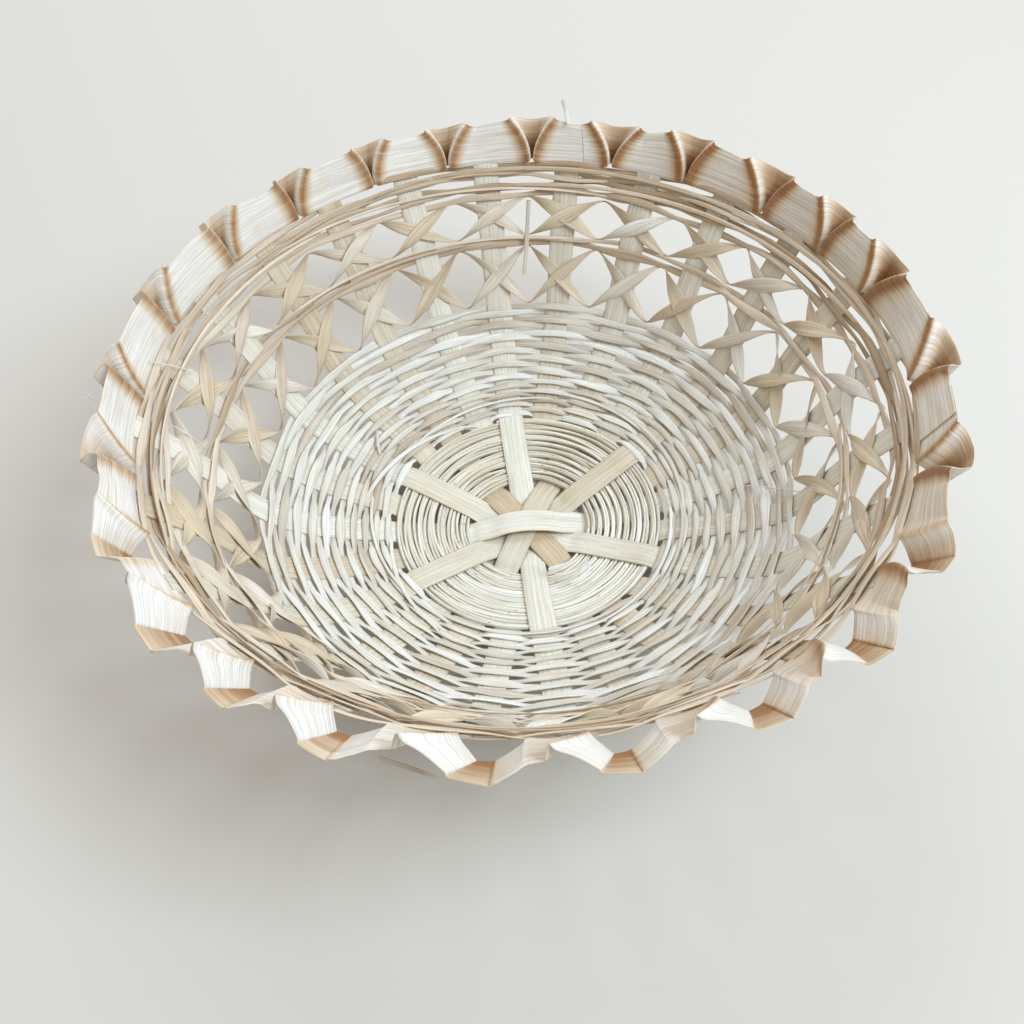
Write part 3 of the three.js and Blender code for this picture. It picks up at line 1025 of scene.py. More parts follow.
@dataclass
class Hoop:
    """One row of weaving that passes inside one stake and outside the next.

    Attributes:
        wall: the wall it lies on.
        name: name of its piece, which its random draws belong to.
        distance: its place along the stakes.
        width: its usual width.
        parity: 0 where it passes inside the even stakes, 1 inside the odd ones.
        narrowing: how much narrower it is where it slips from side to side, as a share.
        drift: what it strays together with its neighbours.
        sway: how far it strays along the stakes by itself.
        tug: how far it strays from stake to stake, as a share of its sway.
        bulge: how far it stands off the stakes where it passes inside them.
        tone: usual lightness.
        swing: how much lighter it is at its lightest stake than halfway round from there.
        lightest: stake where it is lightest.
        beside_stake: room between a stake's edge and the place where the row changes sides.
        latest: the latest it may do so, as a share of the way between two stakes.
        splices: splints that it is made of.
        splint_spread: how much these differ in lightness.
        waver: how much lightness varies within one of them.
    """

    wall: Wall
    name: str
    distance: float
    width: float
    parity: int
    narrowing: float = 0.3
    drift: Union[None, Wander] = None
    sway: float = 0.2
    tug: float = 0.5
    bulge: float = 0.9
    bulge_spread: float = 0.12
    width_spread: float = 0.1
    twist: float = 0.16
    cup: float = 0.03
    tone: float = 0.5
    swing: float = 0.0
    lightest: float = 9.0
    beside_stake: float = 0.3
    latest: float = 0.45
    per_stake: int = 12
    splices: int = 3
    splint_spread: float = 0.2
    waver: float = 0.06

    def strand(self) -> Strand:
        """The row as a closed strand."""
        draws = drawn_for(self.name)
        stake = np.arange(STAKE_COUNT * self.per_stake) / self.per_stake
        point, _ = self.wall.section(np.array(self.distance))
        half = (STAKE_WIDTH / 2 + self.beside_stake) / (float(point[0]) * STAKE_STEP)
        steep = 1.0 / math.cos(math.pi * min(half, self.latest))
        wave = np.tanh(steep * np.cos(math.pi * (stake + self.parity))) / math.tanh(steep)
        inside = self.bulge + Wander(draws, self.bulge_spread, 3, 20).at(stake)
        lift = np.where(wave > 0, wave * inside, wave * INTERLACE)
        distance = self.distance + Wander(draws, self.sway).at(stake)
        distance = distance + Wander(draws, self.sway * self.tug, 8, 24).at(stake)
        if self.drift is not None:
            distance = distance + self.drift.at(stake)
        at, facing = self.wall.place(stake, distance, lift)
        width = self.width * (1 + Wander(draws, self.width_spread, 2, 24).at(stake))
        width = width * (1 - self.narrowing * (1 - wave**2) ** 2)
        twist = Wander(draws, self.twist, 3, 24).at(stake)
        tone = self.tone + self.swing * toward(stake, self.lightest)
        tone = tone + self._splint_tones(draws, stake)
        look = {"closed": True, "cup": self.cup}
        return Strand(at, facing, width, WEAVER_THICKNESS, twist, tone, **look)

    def _splint_tones(self, draws: np.random.RandomState, stake: np.ndarray) -> np.ndarray:
        """Lightness of the splints that the row is made of, with their joins out of sight."""
        places = np.sort(draws.choice(STAKE_COUNT // 2, self.splices, replace=False))
        joins = 2 * places + 1 + self.parity
        tones = draws.normal(0, self.splint_spread, self.splices)
        which = np.searchsorted(joins, stake, side="right") % self.splices
        return tones[which] + Wander(draws, self.waver, 2, 12).at(stake)


@dataclass(frozen=True)
class RowKind:
    """Rows of the close weave that are alike.

    Attributes:
        count: how many there are.
        width: width of the room that each takes up.
        sway: how far one strays along the stakes.
        bulge: how far it stands off the stakes on the inside.
        tone: usual lightness.
    """

    count: int
    width: float
    sway: float
    bulge: float
    tone: float


@dataclass
class WallWeave:
    """Twenty rows of the close weave.

    Attributes:
        kinds: the narrow rows next to the coil and the wide rows above them.
        approach: distance where the first row starts.
        row_gap: gap between two rows, before their splints are broadened.
        overlap: how much broader each splint is than its room.
        drift: how far all rows stray together.
        tone_spread: how much the rows differ in lightness.
    """

    wall: Wall
    maker: PieceMaker
    outline: Outline = Outline(edge=0.18, crown=0.25)
    kinds: tuple = (RowKind(8, 1.5, 0.2, 0.85, 0.5), RowKind(12, 2.0, 0.24, 1.05, 0.6))
    approach: float = 2.0
    row_gap: float = 0.4
    overlap: float = 0.65
    drift: float = 0.3
    tone_spread: float = 0.12

    def build(self, material: bpy.types.Material) -> None:
        """Makes the twenty rows."""
        drift = Wander(drawn_for("close weave"), self.drift, 2, 7)
        draws = drawn_for("row tones")
        reach = self.approach
        rows = [kind for kind in self.kinds for _ in range(kind.count)]
        for number, kind in enumerate(rows):
            node = f"wall_weaver_{number + 1:02d}"
            half = (kind.width + self.row_gap) / 2
            look = {"drift": drift, "sway": kind.sway, "bulge": kind.bulge}
            look["tone"] = draws.normal(kind.tone, self.tone_spread)
            width = kind.width + self.overlap
            hoop = Hoop(self.wall, node, reach + half, width, number % 2, **look)
            self.maker.stand_in(node, hoop.strand(), material, "weaver", self.outline)
            reach += 2 * half


@dataclass
class Stars:
    """Two rows of stars, each of two zigzag strands that cross on the stakes.

    Attributes:
        rows: name, start and height of each row of stars.
        tuck: how far the tips reach past the row.
        tip_depth: how far the tips stand behind the stakes.
        top_lift: how far the upper strand stands off the stake at a crossing.
        roundness: how strongly a strand bends in the middle of a leaf.
        scatter: how far a leaf lies off its place along the stake.
        stray: how far it lies off its place round the basket, in stakes.
        quickness: least and greatest power of the half turn from leaf to leaf.
        lean: how far a leaf tips over.
        breadths: least and greatest width of a leaf, as shares of the usual one.
        fullness: power of the leaf's width towards its tips.
        tip_shade: how much darker the tips are.
    """

    wall: Wall
    maker: PieceMaker
    outline: Outline = Outline(edge=0.1, crown=0.2)
    rows: tuple = (("lower", 45.8, 20.6), ("upper", 70.0, 13.4))
    tuck: float = 0.5
    tip_depth: float = 1.9
    tip_width: float = 1.2
    leaf_width: float = 4.9
    top_lift: float = 1.2
    per_leaf: int = 22
    roundness: float = 0.985
    scatter: float = 0.35
    stray: float = 0.03
    quickness: tuple = (1.05, 1.7)
    lean: float = 0.2
    breadths: tuple = (0.82, 1.12)
    fullness: float = 1.8
    tone: float = 0.62
    tone_spread: float = 0.16
    tip_shade: float = 0.25
    cup: float = 0.06

    def strand(self, name: str, start: float, height: float, which: int) -> Strand:
        """One zigzag strand.

        Args:
            name: name of the piece, which its random draws belong to.
            start: distance where the row of stars starts.
            height: height of the row.
            which: 0 or 1 for the two strands of the row.

        Returns:
            The strand, closed round the basket.
        """
        draws = drawn_for(name)
        stake = np.arange(STAKE_COUNT * self.per_leaf) / self.per_leaf
        leaf = np.floor(stake + 0.5).astype(int)
        number = leaf % STAKE_COUNT
        reach = 2 * (stake - leaf)
        middle = 1 - reach**2
        fall = np.abs(reach) ** 3
        rising = (leaf + which) % 2 == 0
        bend = np.arcsin(self.roundness * np.sin(math.pi / 2 * reach))
        zigzag = np.where(rising, 1, -1) * bend / math.asin(self.roundness)
        half = height / 2 + self.tuck - self.tip_width / 2
        shift = draws.normal(0, self.scatter, STAKE_COUNT)[number] * middle**2
        distance = start + height / 2 + zigzag * half + shift
        lift = np.where(rising, INTERLACE, self.top_lift) * (1 - fall) - self.tip_depth * fall
        stray = draws.normal(0, self.stray, STAKE_COUNT)[number] * middle
        at, facing = self.wall.place(stake + stray, distance, lift)
        power = draws.uniform(*self.quickness, STAKE_COUNT)[number]
        twist = math.pi * leaf + math.pi / 2 * np.sign(reach) * np.abs(reach) ** power
        twist = twist + draws.normal(0, self.lean, STAKE_COUNT)[number] * middle
        broad = self.leaf_width * draws.uniform(*self.breadths, STAKE_COUNT)[number]
        fullness = 1 - np.abs(reach) ** self.fullness
        width = self.tip_width + (broad - self.tip_width) * fullness
        tone = draws.normal(self.tone, self.tone_spread, STAKE_COUNT)[number]
        tone = tone - self.tip_shade * fall
        look = {"closed": True, "cup": self.cup}
        return Strand(at, facing, width, WEAVER_THICKNESS, twist, tone, **look)

    def build(self, material: bpy.types.Material) -> None:
        """Makes the four strands."""
        for row, start, height in self.rows:
            for which, letter in enumerate("ab"):
                node = f"{row}_star_strand_{letter}"
                strand = self.strand(node, start, height, which)
                self.maker.stand_in(node, strand, material, "star", self.outline)


@dataclass
class Band:
    """The ring between the rows of stars, and the band of thin rows above them.

    Attributes:
        ring_rows: name, distance and width of each row of the ring.
        ring_look: how far the ring's rows stray, and their lightness.
        band_start: distance of the band's lowest row.
        band_pitch: distance from row to row of the band.
        band_widths: width of each row of the band.
        band_look: the same for the band as ring_look.
        bulge: how far all these rows stand off the stakes on the inside.
        swing: how much lighter they are at the left of the front.
    """

    wall: Wall
    maker: PieceMaker
    outline: Outline = Outline(edge=0.18, crown=0.3)
    ring_rows: tuple = (("ring_weaver_lower", 67.2, 2.8), ("ring_weaver_upper", 69.2, 1.9))
    ring_look: tuple = (0.45, 0.58)
    band_start: float = 84.2
    band_pitch: float = 2.0
    band_widths: tuple = (2.3, 1.6, 2.5, 1.7, 2.6, 2.1)
    band_look: tuple = (0.75, 0.5)
    bulge: float = 1.0
    swing: float = 0.2

    def build(self, material: bpy.types.Material) -> None:
        """Makes the ring and the band."""
        band_rows = [
            (f"band_weaver_{k + 1}", self.band_start + k * self.band_pitch, width)
            for k, width in enumerate(self.band_widths)
        ]
        for rows, (sway, tone) in ((self.ring_rows, self.ring_look), (band_rows, self.band_look)):
            look = {"sway": sway, "tone": tone, "bulge": self.bulge, "swing": self.swing}
            for number, (node, distance, width) in enumerate(rows):
                hoop = Hoop(self.wall, node, distance, width, number % 2, **look)
                self.maker.stand_in(node, hoop.strand(), material, "band", self.outline)


@dataclass(frozen=True)
class Ruling:
    """One line across the ribbon, measured from the notch that it is nearest to.

    Attributes:
        foot: back from the notch, outward and up, where the line leaves the band.
        head: the same for its end at the free edge.
        tone: lightness of the ribbon there, with painted shade in the hollows beside the sharp
            bends and inside the loops, and a painted highlight on the bends and on the walls that
            face the light.
        bow: how far its middle bends towards the notch.
        shade: how much lighter, by painted highlight, its head is than its middle, and darker, by
            painted shade, its foot.
    """

    foot: tuple
    head: tuple
    tone: float
    bow: float = 0.0
    shade: float = 0.0

    def towards(self, other: "Ruling", share: float) -> "Ruling":
        """This ruling moved towards another one by a share of the way."""

        def between(here: float, there: float) -> float:
            """A number on the way from one to the other."""
            return here * (1 - share) + there * share

        return Ruling(
            tuple(map(between, self.foot, other.foot)),
            tuple(map(between, self.head, other.head)),
            between(self.tone, other.tone),
            between(self.bow, other.bow),
            between(self.shade, other.shade),
        )


@dataclass(frozen=True)
class Notch:
    """One place where the ribbon leaves the band for a loop outward.

    Attributes:
        place: where it is, counted in stakes.
        share: how much of the front's shape it has.
        leans: how strongly the bends before and after it lean, as shares of their rulings' lean.
        ruffle: swell, rise and shade of its loop, where the shade holds a random tone and the
            painted shade of the right side.
    """

    place: float
    share: float
    leans: tuple
    ruffle: tuple


@dataclass
class RimRibbon:
    """The ruffled ribbon: a panel inside each stake, and a loop outward at each notch.

    Attributes:
        notches: places where two panels meet at their feet, counted in stakes.
        back_panel: the ruling in the middle of a panel at the back, measured from that middle.
        back_side: rulings from a panel past its sharp bend to the side of a loop at the back.
        back_loop: the ruling in the middle of a loop at the back.
        front_panel: the same as back_panel at the front.
        front_before: rulings at the front from a panel to the loop that follows it.
        front_after: rulings at the front from a panel to the loop before it.
        front_loop: the same as back_loop at the front.
        leans: how the two bends beside a notch lean, each as its mean and its swings to the
            front and to the right.
        lean_spread: how much the bends lean at random at the back and at the front.
        ruffle_spread: how much the loops differ in swell, rise and shade.
        right: stake in the middle of the right side.
        warm: stake where painted shade darkens the ribbon most, on the right, where its panels'
            inner faces turn away from the light.
        side_shade: how much darker that painted shade makes it there.
        swell_start: how far out a ruling's head is where the loops' random swell starts.
        least_bow: what is added to a ruling's lean as the share of its bow that shows.
        between: stations from ruling to ruling.
        short_start: first panel of the shorter length.
        short_panels: how many panels that length has.
        splice_lift: how far the first panel of a length lies over the one beneath it.
        splice_rise: how far it is also raised, as a share of that.
        splice_fade: rulings over which this fades out.
        splice_rulings: rulings beyond the middle of a panel at either end of a length.
    """

    wall: Wall
    maker: PieceMaker
    outline: Outline = Outline(edge=0.03, crown=0.3, spans=8)
    thickness: float = 0.35
    notches: tuple = (
        *(0.47, 1.4, 2.42, 3.42, 4.6, 5.65, 6.62, 7.62, 8.65, 9.4, 10.21, 11.31),
        *(12.3, 13.38, 14.33, 15.28, 16.3, 17.45, 18.82, 19.62, 20.5, 21.55, 22.48, 23.44),
    )
    # The rulings' tones paint shade into the hollow before each sharp bend and into the loops, and
    # a highlight along each bend and on the walls that face the light.
    back_panel: Ruling = Ruling((0.0, -0.5, -0.6), (0.0, 4.4, 12.4), 1.05)
    back_side: tuple = (
        Ruling((9.5, -0.5, -0.6), (11.0, 4.4, 12.4), 1.05, 0.1),
        Ruling((5.5, -0.6, -0.5), (9.8, 4.4, 12.5), 0.9, 0.6),
        Ruling((3.4, -1.0, -0.2), (8.6, 4.2, 12.8), 0.4, 1.2),
        Ruling((1.9, -1.6, 0.3), (7.4, 3.8, 13.4), 0.0, 1.6),
        Ruling((1.0, -1.8, 0.6), (6.8, 4.2, 13.9), 0.15, 1.7, 0.1),
        Ruling((0.6, -1.0, 0.6), (6.4, 4.9, 13.8), 1.0, 1.7, 0.1),
        Ruling((0.4, 1.2, 0.2), (6.0, 5.9, 13.4), 0.75, 1.3, 0.2),
        Ruling((0.8, 3.0, -1.2), (4.9, 7.4, 12.2), 0.3, 0.7, 0.4),
        Ruling((1.1, 4.6, -2.4), (2.9, 8.9, 10.8), 0.15, 0.3, 0.35),
        Ruling((0.9, 5.4, -2.9), (1.9, 9.3, 10.3), 0.15, 0.2, 0.35),
    )
    back_loop: Ruling = Ruling((0.0, 5.8, -3.1), (0.0, 9.5, 10.0), 0.15, 0.0, 0.35)
    front_panel: Ruling = Ruling((0.0, -0.6, -0.6), (-4.3, 9.6, 8.0), 0.7)
    front_before: tuple = (
        Ruling((11.5, -0.6, -0.6), (16.9, 9.5, 8.4), 0.65, 0.2),
        Ruling((9.0, -0.8, -0.4), (16.8, 9.3, 9.2), 0.5, 0.5),
        Ruling((7.6, -1.1, 0.0), (16.7, 8.8, 10.4), 0.3, 1.0),
        Ruling((6.8, -1.0, 0.4), (16.5, 8.2, 11.7), 0.12, 1.5),
        Ruling((6.4, -0.6, 0.6), (16.2, 7.7, 12.6), 0.4, 1.8, 0.1),
        Ruling((6.0, 0.4, 0.6), (15.8, 7.7, 12.8), 1.0, 1.8),
        Ruling((5.0, 1.8, 0.4), (14.6, 8.9, 12.1), 1.1, 1.5),
        Ruling((3.7, 3.2, 0.0), (11.0, 10.2, 10.8), 1.1, 1.0),
        Ruling((2.3, 4.8, -0.5), (6.8, 12.7, 8.4), 1.0, 0.3),
        Ruling((1.9, 5.0, -0.6), (5.8, 13.8, 7.8), 0.2, 0.0, 0.25),
    )
    front_after: tuple = (
        Ruling((12.6, -0.6, -0.6), (9.4, 9.7, 8.1), 0.75),
        Ruling((10.8, -0.6, -0.4), (9.0, 9.9, 8.3), 0.75),
        Ruling((9.2, -0.6, 0.0), (8.6, 10.1, 8.5), 0.75),
        Ruling((8.4, -0.3, 0.5), (8.2, 10.4, 8.7), 0.8),
        Ruling((7.9, 0.0, 0.7), (7.7, 10.7, 8.8), 0.9, 0.3),
        Ruling((7.4, 1.0, 0.6), (7.1, 11.2, 8.8), 1.0, 0.3),
        Ruling((5.4, 2.4, 0.2), (5.9, 12.1, 8.6), 0.95),
        Ruling((3.4, 3.6, -0.3), (4.4, 13.0, 8.2), 0.85),
        Ruling((1.8, 4.5, -0.6), (2.8, 14.0, 7.6), 0.7, 0.0, 0.1),
        Ruling((1.4, 4.7, -0.6), (1.4, 14.4, 7.2), 0.15, 0.0, 0.3),
    )
    front_loop: Ruling = Ruling((0.3, 4.9, -0.7), (1.0, 14.6, 6.8), 0.2, 0.0, 0.35)
    leans: tuple = ((1.2, 0.05, -0.1), (0.6, -0.45, 0.65))
    lean_spread: tuple = (0.12, 0.04)
    ruffle_spread: tuple = (0.08, 0.45, 0.06)
    right: float = 17.5
    warm: float = 17.0
    side_shade: float = 0.12
    swell_start: float = 4.6
    least_bow: float = 0.2
    between: int = 5
    short_start: int = 17
    short_panels: int = 7
    splice_lift: float = 0.45
    splice_rise: float = 0.4
    splice_fade: float = 4.0
    splice_rulings: int = 1
    seat_radius: float = field(init=False)
    seat_height: float = field(init=False)

    def __post_init__(self) -> None:
        """Finds the rim of the band, which the rulings are measured from."""
        seat, _ = self.wall.section(np.array(RIM_DISTANCE))
        self.seat_radius, self.seat_height = map(float, seat)

    def point(self, stake: float, outward: float, upward: float) -> np.ndarray:
        """A point over the rim of the band."""
        out, _ = directions(stake)
        return out * (self.seat_radius + outward) + UP * (self.seat_height + upward)

    def line(self, stake: float, ruling: Ruling, side: float, lean: float, ruffle: tuple) -> tuple:
        """Places one ruling.

        Args:
            stake: place of the notch or the middle that it is measured from.
            ruling: the ruling.
            side: how long "back" is here as a share of its usual length, above 0 where it runs
                towards higher stakes and below 0 where it runs towards lower ones.
            lean: how strongly it leans, as a share of the ruling's own lean.
            ruffle: swell, rise and shade of the loop beside it.

        Returns:
            Its foot, its head, its bow, and its tone and shade.
        """
        swell, rise, shade = ruffle
        step = side / (self.seat_radius * STAKE_STEP)
        back, outward, upward = ruling.head
        back = ruling.foot[0] + (back - ruling.foot[0]) * lean
        beyond = max(0.0, outward - self.swell_start)
        head = self.point(stake + back * step, outward + beyond * swell, upward + rise)
        foot = self.point(stake + ruling.foot[0] * step, *ruling.foot[1:])
        _, beside = directions(stake)
        bow = -beside * math.copysign(1, side) * ruling.bow * min(lean + self.least_bow, 1.0)
        return foot, head, bow, np.array([ruling.tone + shade, ruling.shade])

    def notch(self, number: int) -> Notch:
        """The notch of a number, which goes on counting after a whole turn."""
        turn, index = divmod(number, STAKE_COUNT)
        draws = drawn_for(f"loop {index}")
        place = self.notches[index]
        to_front, to_right, to_shaded_side = (
            toward(place, side) for side in (FRONT_STAKE, self.right, self.warm)
        )
        share = front_share(place)
        spread, front_spread = self.lean_spread
        leans = []
        for mean, ahead, aside in self.leans:
            lean = mean + ahead * to_front + aside * to_right + draws.normal(0, spread)
            leans.append(lean * (1 - share) + draws.normal(1, front_spread) * share)
        swell, rise, shade = draws.normal(0, self.ruffle_spread)
        # Painted shade: the ribbon is darkened towards the right side, where its panels face away
        # from the light.
        ruffle = (swell, rise, shade - self.side_shade * to_shaded_side)
        return Notch(place + turn * STAKE_COUNT, share, tuple(leans), ruffle)

    def cell(self, stake: int) -> list[tuple]:
        """The placed rulings from one loop past a panel to the next loop."""
        before, after = self.notch(stake - 1), self.notch(stake)
        room = after.place - before.place
        calm = tuple((a + b) / 2 for a, b in zip(before.ruffle, after.ruffle))
        middle = self.back_panel.towards(self.front_panel, (before.share + after.share) / 2)
        rows = []
        for back, front in zip(self.back_side[::-1], self.front_after[::-1]):
            ruling = back.towards(front, before.share)
            rows.append(self.line(before.place, ruling, room, before.leans[1], before.ruffle))
        rows.append(self.line((before.place + after.place) / 2, middle, room, 1.0, calm))
        for back, front in zip(self.back_side, self.front_before):
            ruling = back.towards(front, after.share)
            rows.append(self.line(after.place, ruling, -room, after.leans[0], after.ruffle))
        loop = self.back_loop.towards(self.front_loop, after.share)
        rows.append(self.line(after.place, loop, 1.0, 1.0, after.ruffle))
        return rows

    def length(self, first: int, panels: int) -> Strand:
        """One length of the ribbon.

        Args:
            first: stake of its first panel, which lies over the other length's last one.
            panels: how many panels it has.

        Returns:
            The ribbon as a strand whose stations are its rulings.
        """
        middle = len(self.back_side)
        rows = []
        for panel in range(panels):
            rulings = self.cell(first + panel)
            if panel == panels - 1:
                rulings = rulings[: middle + self.splice_rulings + 1]
            if panel == 0:
                out, _ = directions(first)
                off = self.splice_lift * (self.splice_rise * UP - out)
                fade = 1 - ease((np.arange(len(rulings)) - middle - 1) / self.splice_fade)
                rulings = [
                    (foot + off * part, head + off * part, *rest)
                    for (foot, head, *rest), part in zip(rulings, fade)
                ]
                rulings = rulings[middle - self.splice_rulings :]
            rows.extend(rulings)
        feet, heads, bow, marks = (
            through(np.array(part), self.between) for part in zip(*rows)
        )
        across = unit(heads - feet)
        centre = (feet + heads) / 2
        facing = unit(np.cross(across, np.gradient(centre, axis=0)))
        width = np.linalg.norm(heads - feet, axis=1)
        tone, shade = marks.T
        look = {"tone": tone, "across": across, "bow": bow, "shade": shade}
        return Strand(centre, facing, width, self.thickness, **look)

    def build(self, material: bpy.types.Material) -> None:
        """Makes both lengths."""
        long_start = self.short_start + self.short_panels - 1
        long_panels = STAKE_COUNT - self.short_panels + 2
        for node, first, panels in (
            ("rim_ribbon_long", long_start, long_panels),
            ("rim_ribbon_short", self.short_start, self.short_panels),
        ):
            strand = self.length(first, panels)
            self.maker.stand_in(node, strand, material, "ribbon", self.outline)


@dataclass(frozen=True)
class LooseSplint:
    """One thin splint that lies loose over the weaving.

    Attributes:
        knots: stake, distance along the wall and height off it, from end to end.
        width: its width in the middle.
        tone: its lightness.
        taper: how much narrower its ends are, as a share.
        roll: how far it turns over on the way, in radians.
        tilt: how far it is turned over all along, in radians.
    """

    knots: tuple
    width: float
    tone: float = 0.5
    taper: float = 0.4
    roll: float = 0.3
    tilt: float = 0.0


@dataclass(frozen=True)
class ArcGroup:
    """Loose splints that each cross a few rows over several stakes.

    Attributes:
        draws: what their random draws belong to.
        count: how many there are, spread round the basket.
        rows: lowest and highest distance along the wall.
        lift: how far they stand off the wall.
        width: least and greatest width.
        slot: material slot of their bamboo.
    """

    draws: str
    count: int
    rows: tuple
    lift: float
    width: tuple
    slot: str


@dataclass
class LooseSplints:
    """Thin splints that run loose across the rows, and the stray ends of others.

    Attributes:
        spans: least and greatest length of an arc, in stakes.
        knots: share of its length and of its height off the wall at points of an arc.
        spacing: how far an arc may start from its even place, as a share of the spacing.
        tones: least and greatest lightness of an arc.
        extra_roll: how much more or less the arcs turn over, in radians.
        sweep: how much of the turning over and back a splint shows.
        groups: the arcs over the band, over the ring and over the close weave.
        strays: single ends.
    """

    wall: Wall
    maker: PieceMaker
    outline: Outline = Outline(edge=0.2, crown=0.3)
    thickness: float = 0.3
    between: int = 14
    spans: tuple = (3.2, 6.5)
    knots: tuple = ((0.0, -0.5), (0.12, 0.7), (0.5, 1.0), (0.88, 0.7), (1.0, -0.5))
    spacing: float = 0.8
    tones: tuple = (0.25, 1.0)
    extra_roll: float = 0.35
    sweep: float = 2.5
    groups: tuple = (
        ArcGroup("band", 11, (84.5, 94.0), 1.7, (0.9, 1.7), "band"),
        ArcGroup("ring", 4, (66.5, 71.0), 1.9, (0.9, 1.5), "band"),
        ArcGroup("rows", 9, (1.0, 13.0), 1.45, (0.8, 1.5), "weaver"),
    )
    strays: tuple = (
        LooseSplint(((23.48, 82.0, 2.2), (23.51, 69.3, 2.4), (23.56, 56.5, 2.6)), 1.5, 0.3, 0.0),
        LooseSplint(((23.01, 107.0, 5.3), (23.05, 111.4, 5.7), (23.09, 114.5, 6.7)), 1.5, 1.0),
        LooseSplint(
            ((10.5, 97.3, -7.2), (10.72, 93.7, -8.9), (10.93, 89.1, -11.2)), 1.1, 0.3, tilt=-1.4
        ),
        LooseSplint(((3.36, 20.0, 1.7), (3.85, 13.5, 1.8)), 1.0, 0.3, 0.2),
        LooseSplint(((17.71, 28.7, 2.2), (17.4, 39.5, 2.8), (17.03, 50.9, 2.5)), 0.3, 0.9),
        LooseSplint(((5.21, 97.1, 2.2), (5.1, 90.5, 3.1), (4.94, 83.4, 2.4)), 0.3, 0.9),
        LooseSplint(((5.8, 84.5, 2.2), (5.82, 78.5, 2.9), (5.84, 72.7, 2.6)), 0.35, 0.9),
        LooseSplint(((5.67, 107.0, -10.0), (5.7, 106.0, -8.2), (5.78, 104.6, -6.0)), 0.3, 0.8),
        LooseSplint(((12.7, -18.8, 6.4), (13.3, -18.2, 6.8), (14.0, -17.8, 6.6)), 1.5, 0.8),
        LooseSplint(((12.9, -16.4, 5.6), (13.6, -14.7, 5.9), (14.4, -14.4, 5.9)), 1.3, 0.6),
        LooseSplint(((13.3, -11.5, 4.7), (14.2, -11.9, 5.0), (14.5, -14.6, 5.8)), 0.9, 0.9),
    )

    def strand(self, splint: LooseSplint, extra: float = 0.0) -> Strand:
        """One splint as a strand, turned over a little further by the extra roll."""
        path = through(np.array(splint.knots), self.between)
        at, facing = self.wall.place(*path.T)
        reach = np.linspace(-1, 1, len(at))
        width = splint.width * (1 - splint.taper * reach**4)
        twist = splint.tilt + (splint.roll + extra) * np.sin(self.sweep * reach + extra)
        return Strand(at, facing, width, self.thickness, twist, splint.tone)

    def arcs(self, group: ArcGroup) -> list[Strand]:
        """The splints of one group, with their ends tucked in."""
        draws = drawn_for(group.draws)
        shares, lifts = np.array(self.knots).T
        strands = []
        for number in range(group.count):
            start = (number + draws.uniform(0, self.spacing)) * STAKE_COUNT / group.count
            span = draws.uniform(*self.spans)
            begin, end = draws.uniform(*group.rows, 2)
            distances = begin + (end - begin) * shares
            path = np.stack([start + span * shares, distances, group.lift * lifts], -1)
            look = (draws.uniform(*group.width), draws.uniform(*self.tones))
            splint = LooseSplint(tuple(map(tuple, path)), *look)
            strands.append(self.strand(splint, draws.normal(0, self.extra_roll)))
        return strands

    def build(self, materials: dict[str, bpy.types.Material]) -> None:
        """Makes them, with the materials of the band and of the close weave by their slots."""
        for group in self.groups:
            name = f"loose_{group.draws}_bamboo"
            material = materials[group.slot]
            self.maker.add(name, self.arcs(group), material, group.slot, outline=self.outline)
        ends = [self.strand(splint) for splint in self.strays]
        self.maker.add("stray_ends_bamboo", ends, materials["weaver"], "weaver", (), self.outline)


@dataclass(frozen=True)
class Lamp:
    """One soft square lamp that shines at the basket.

    Attributes:
        name: name of the lamp.
        spot: its place in metres.
        size: its side in metres.
        watts: its power.
        colour: its colour.
    """

    name: str
    spot: tuple
    size: float
    watts: float
    colour: tuple


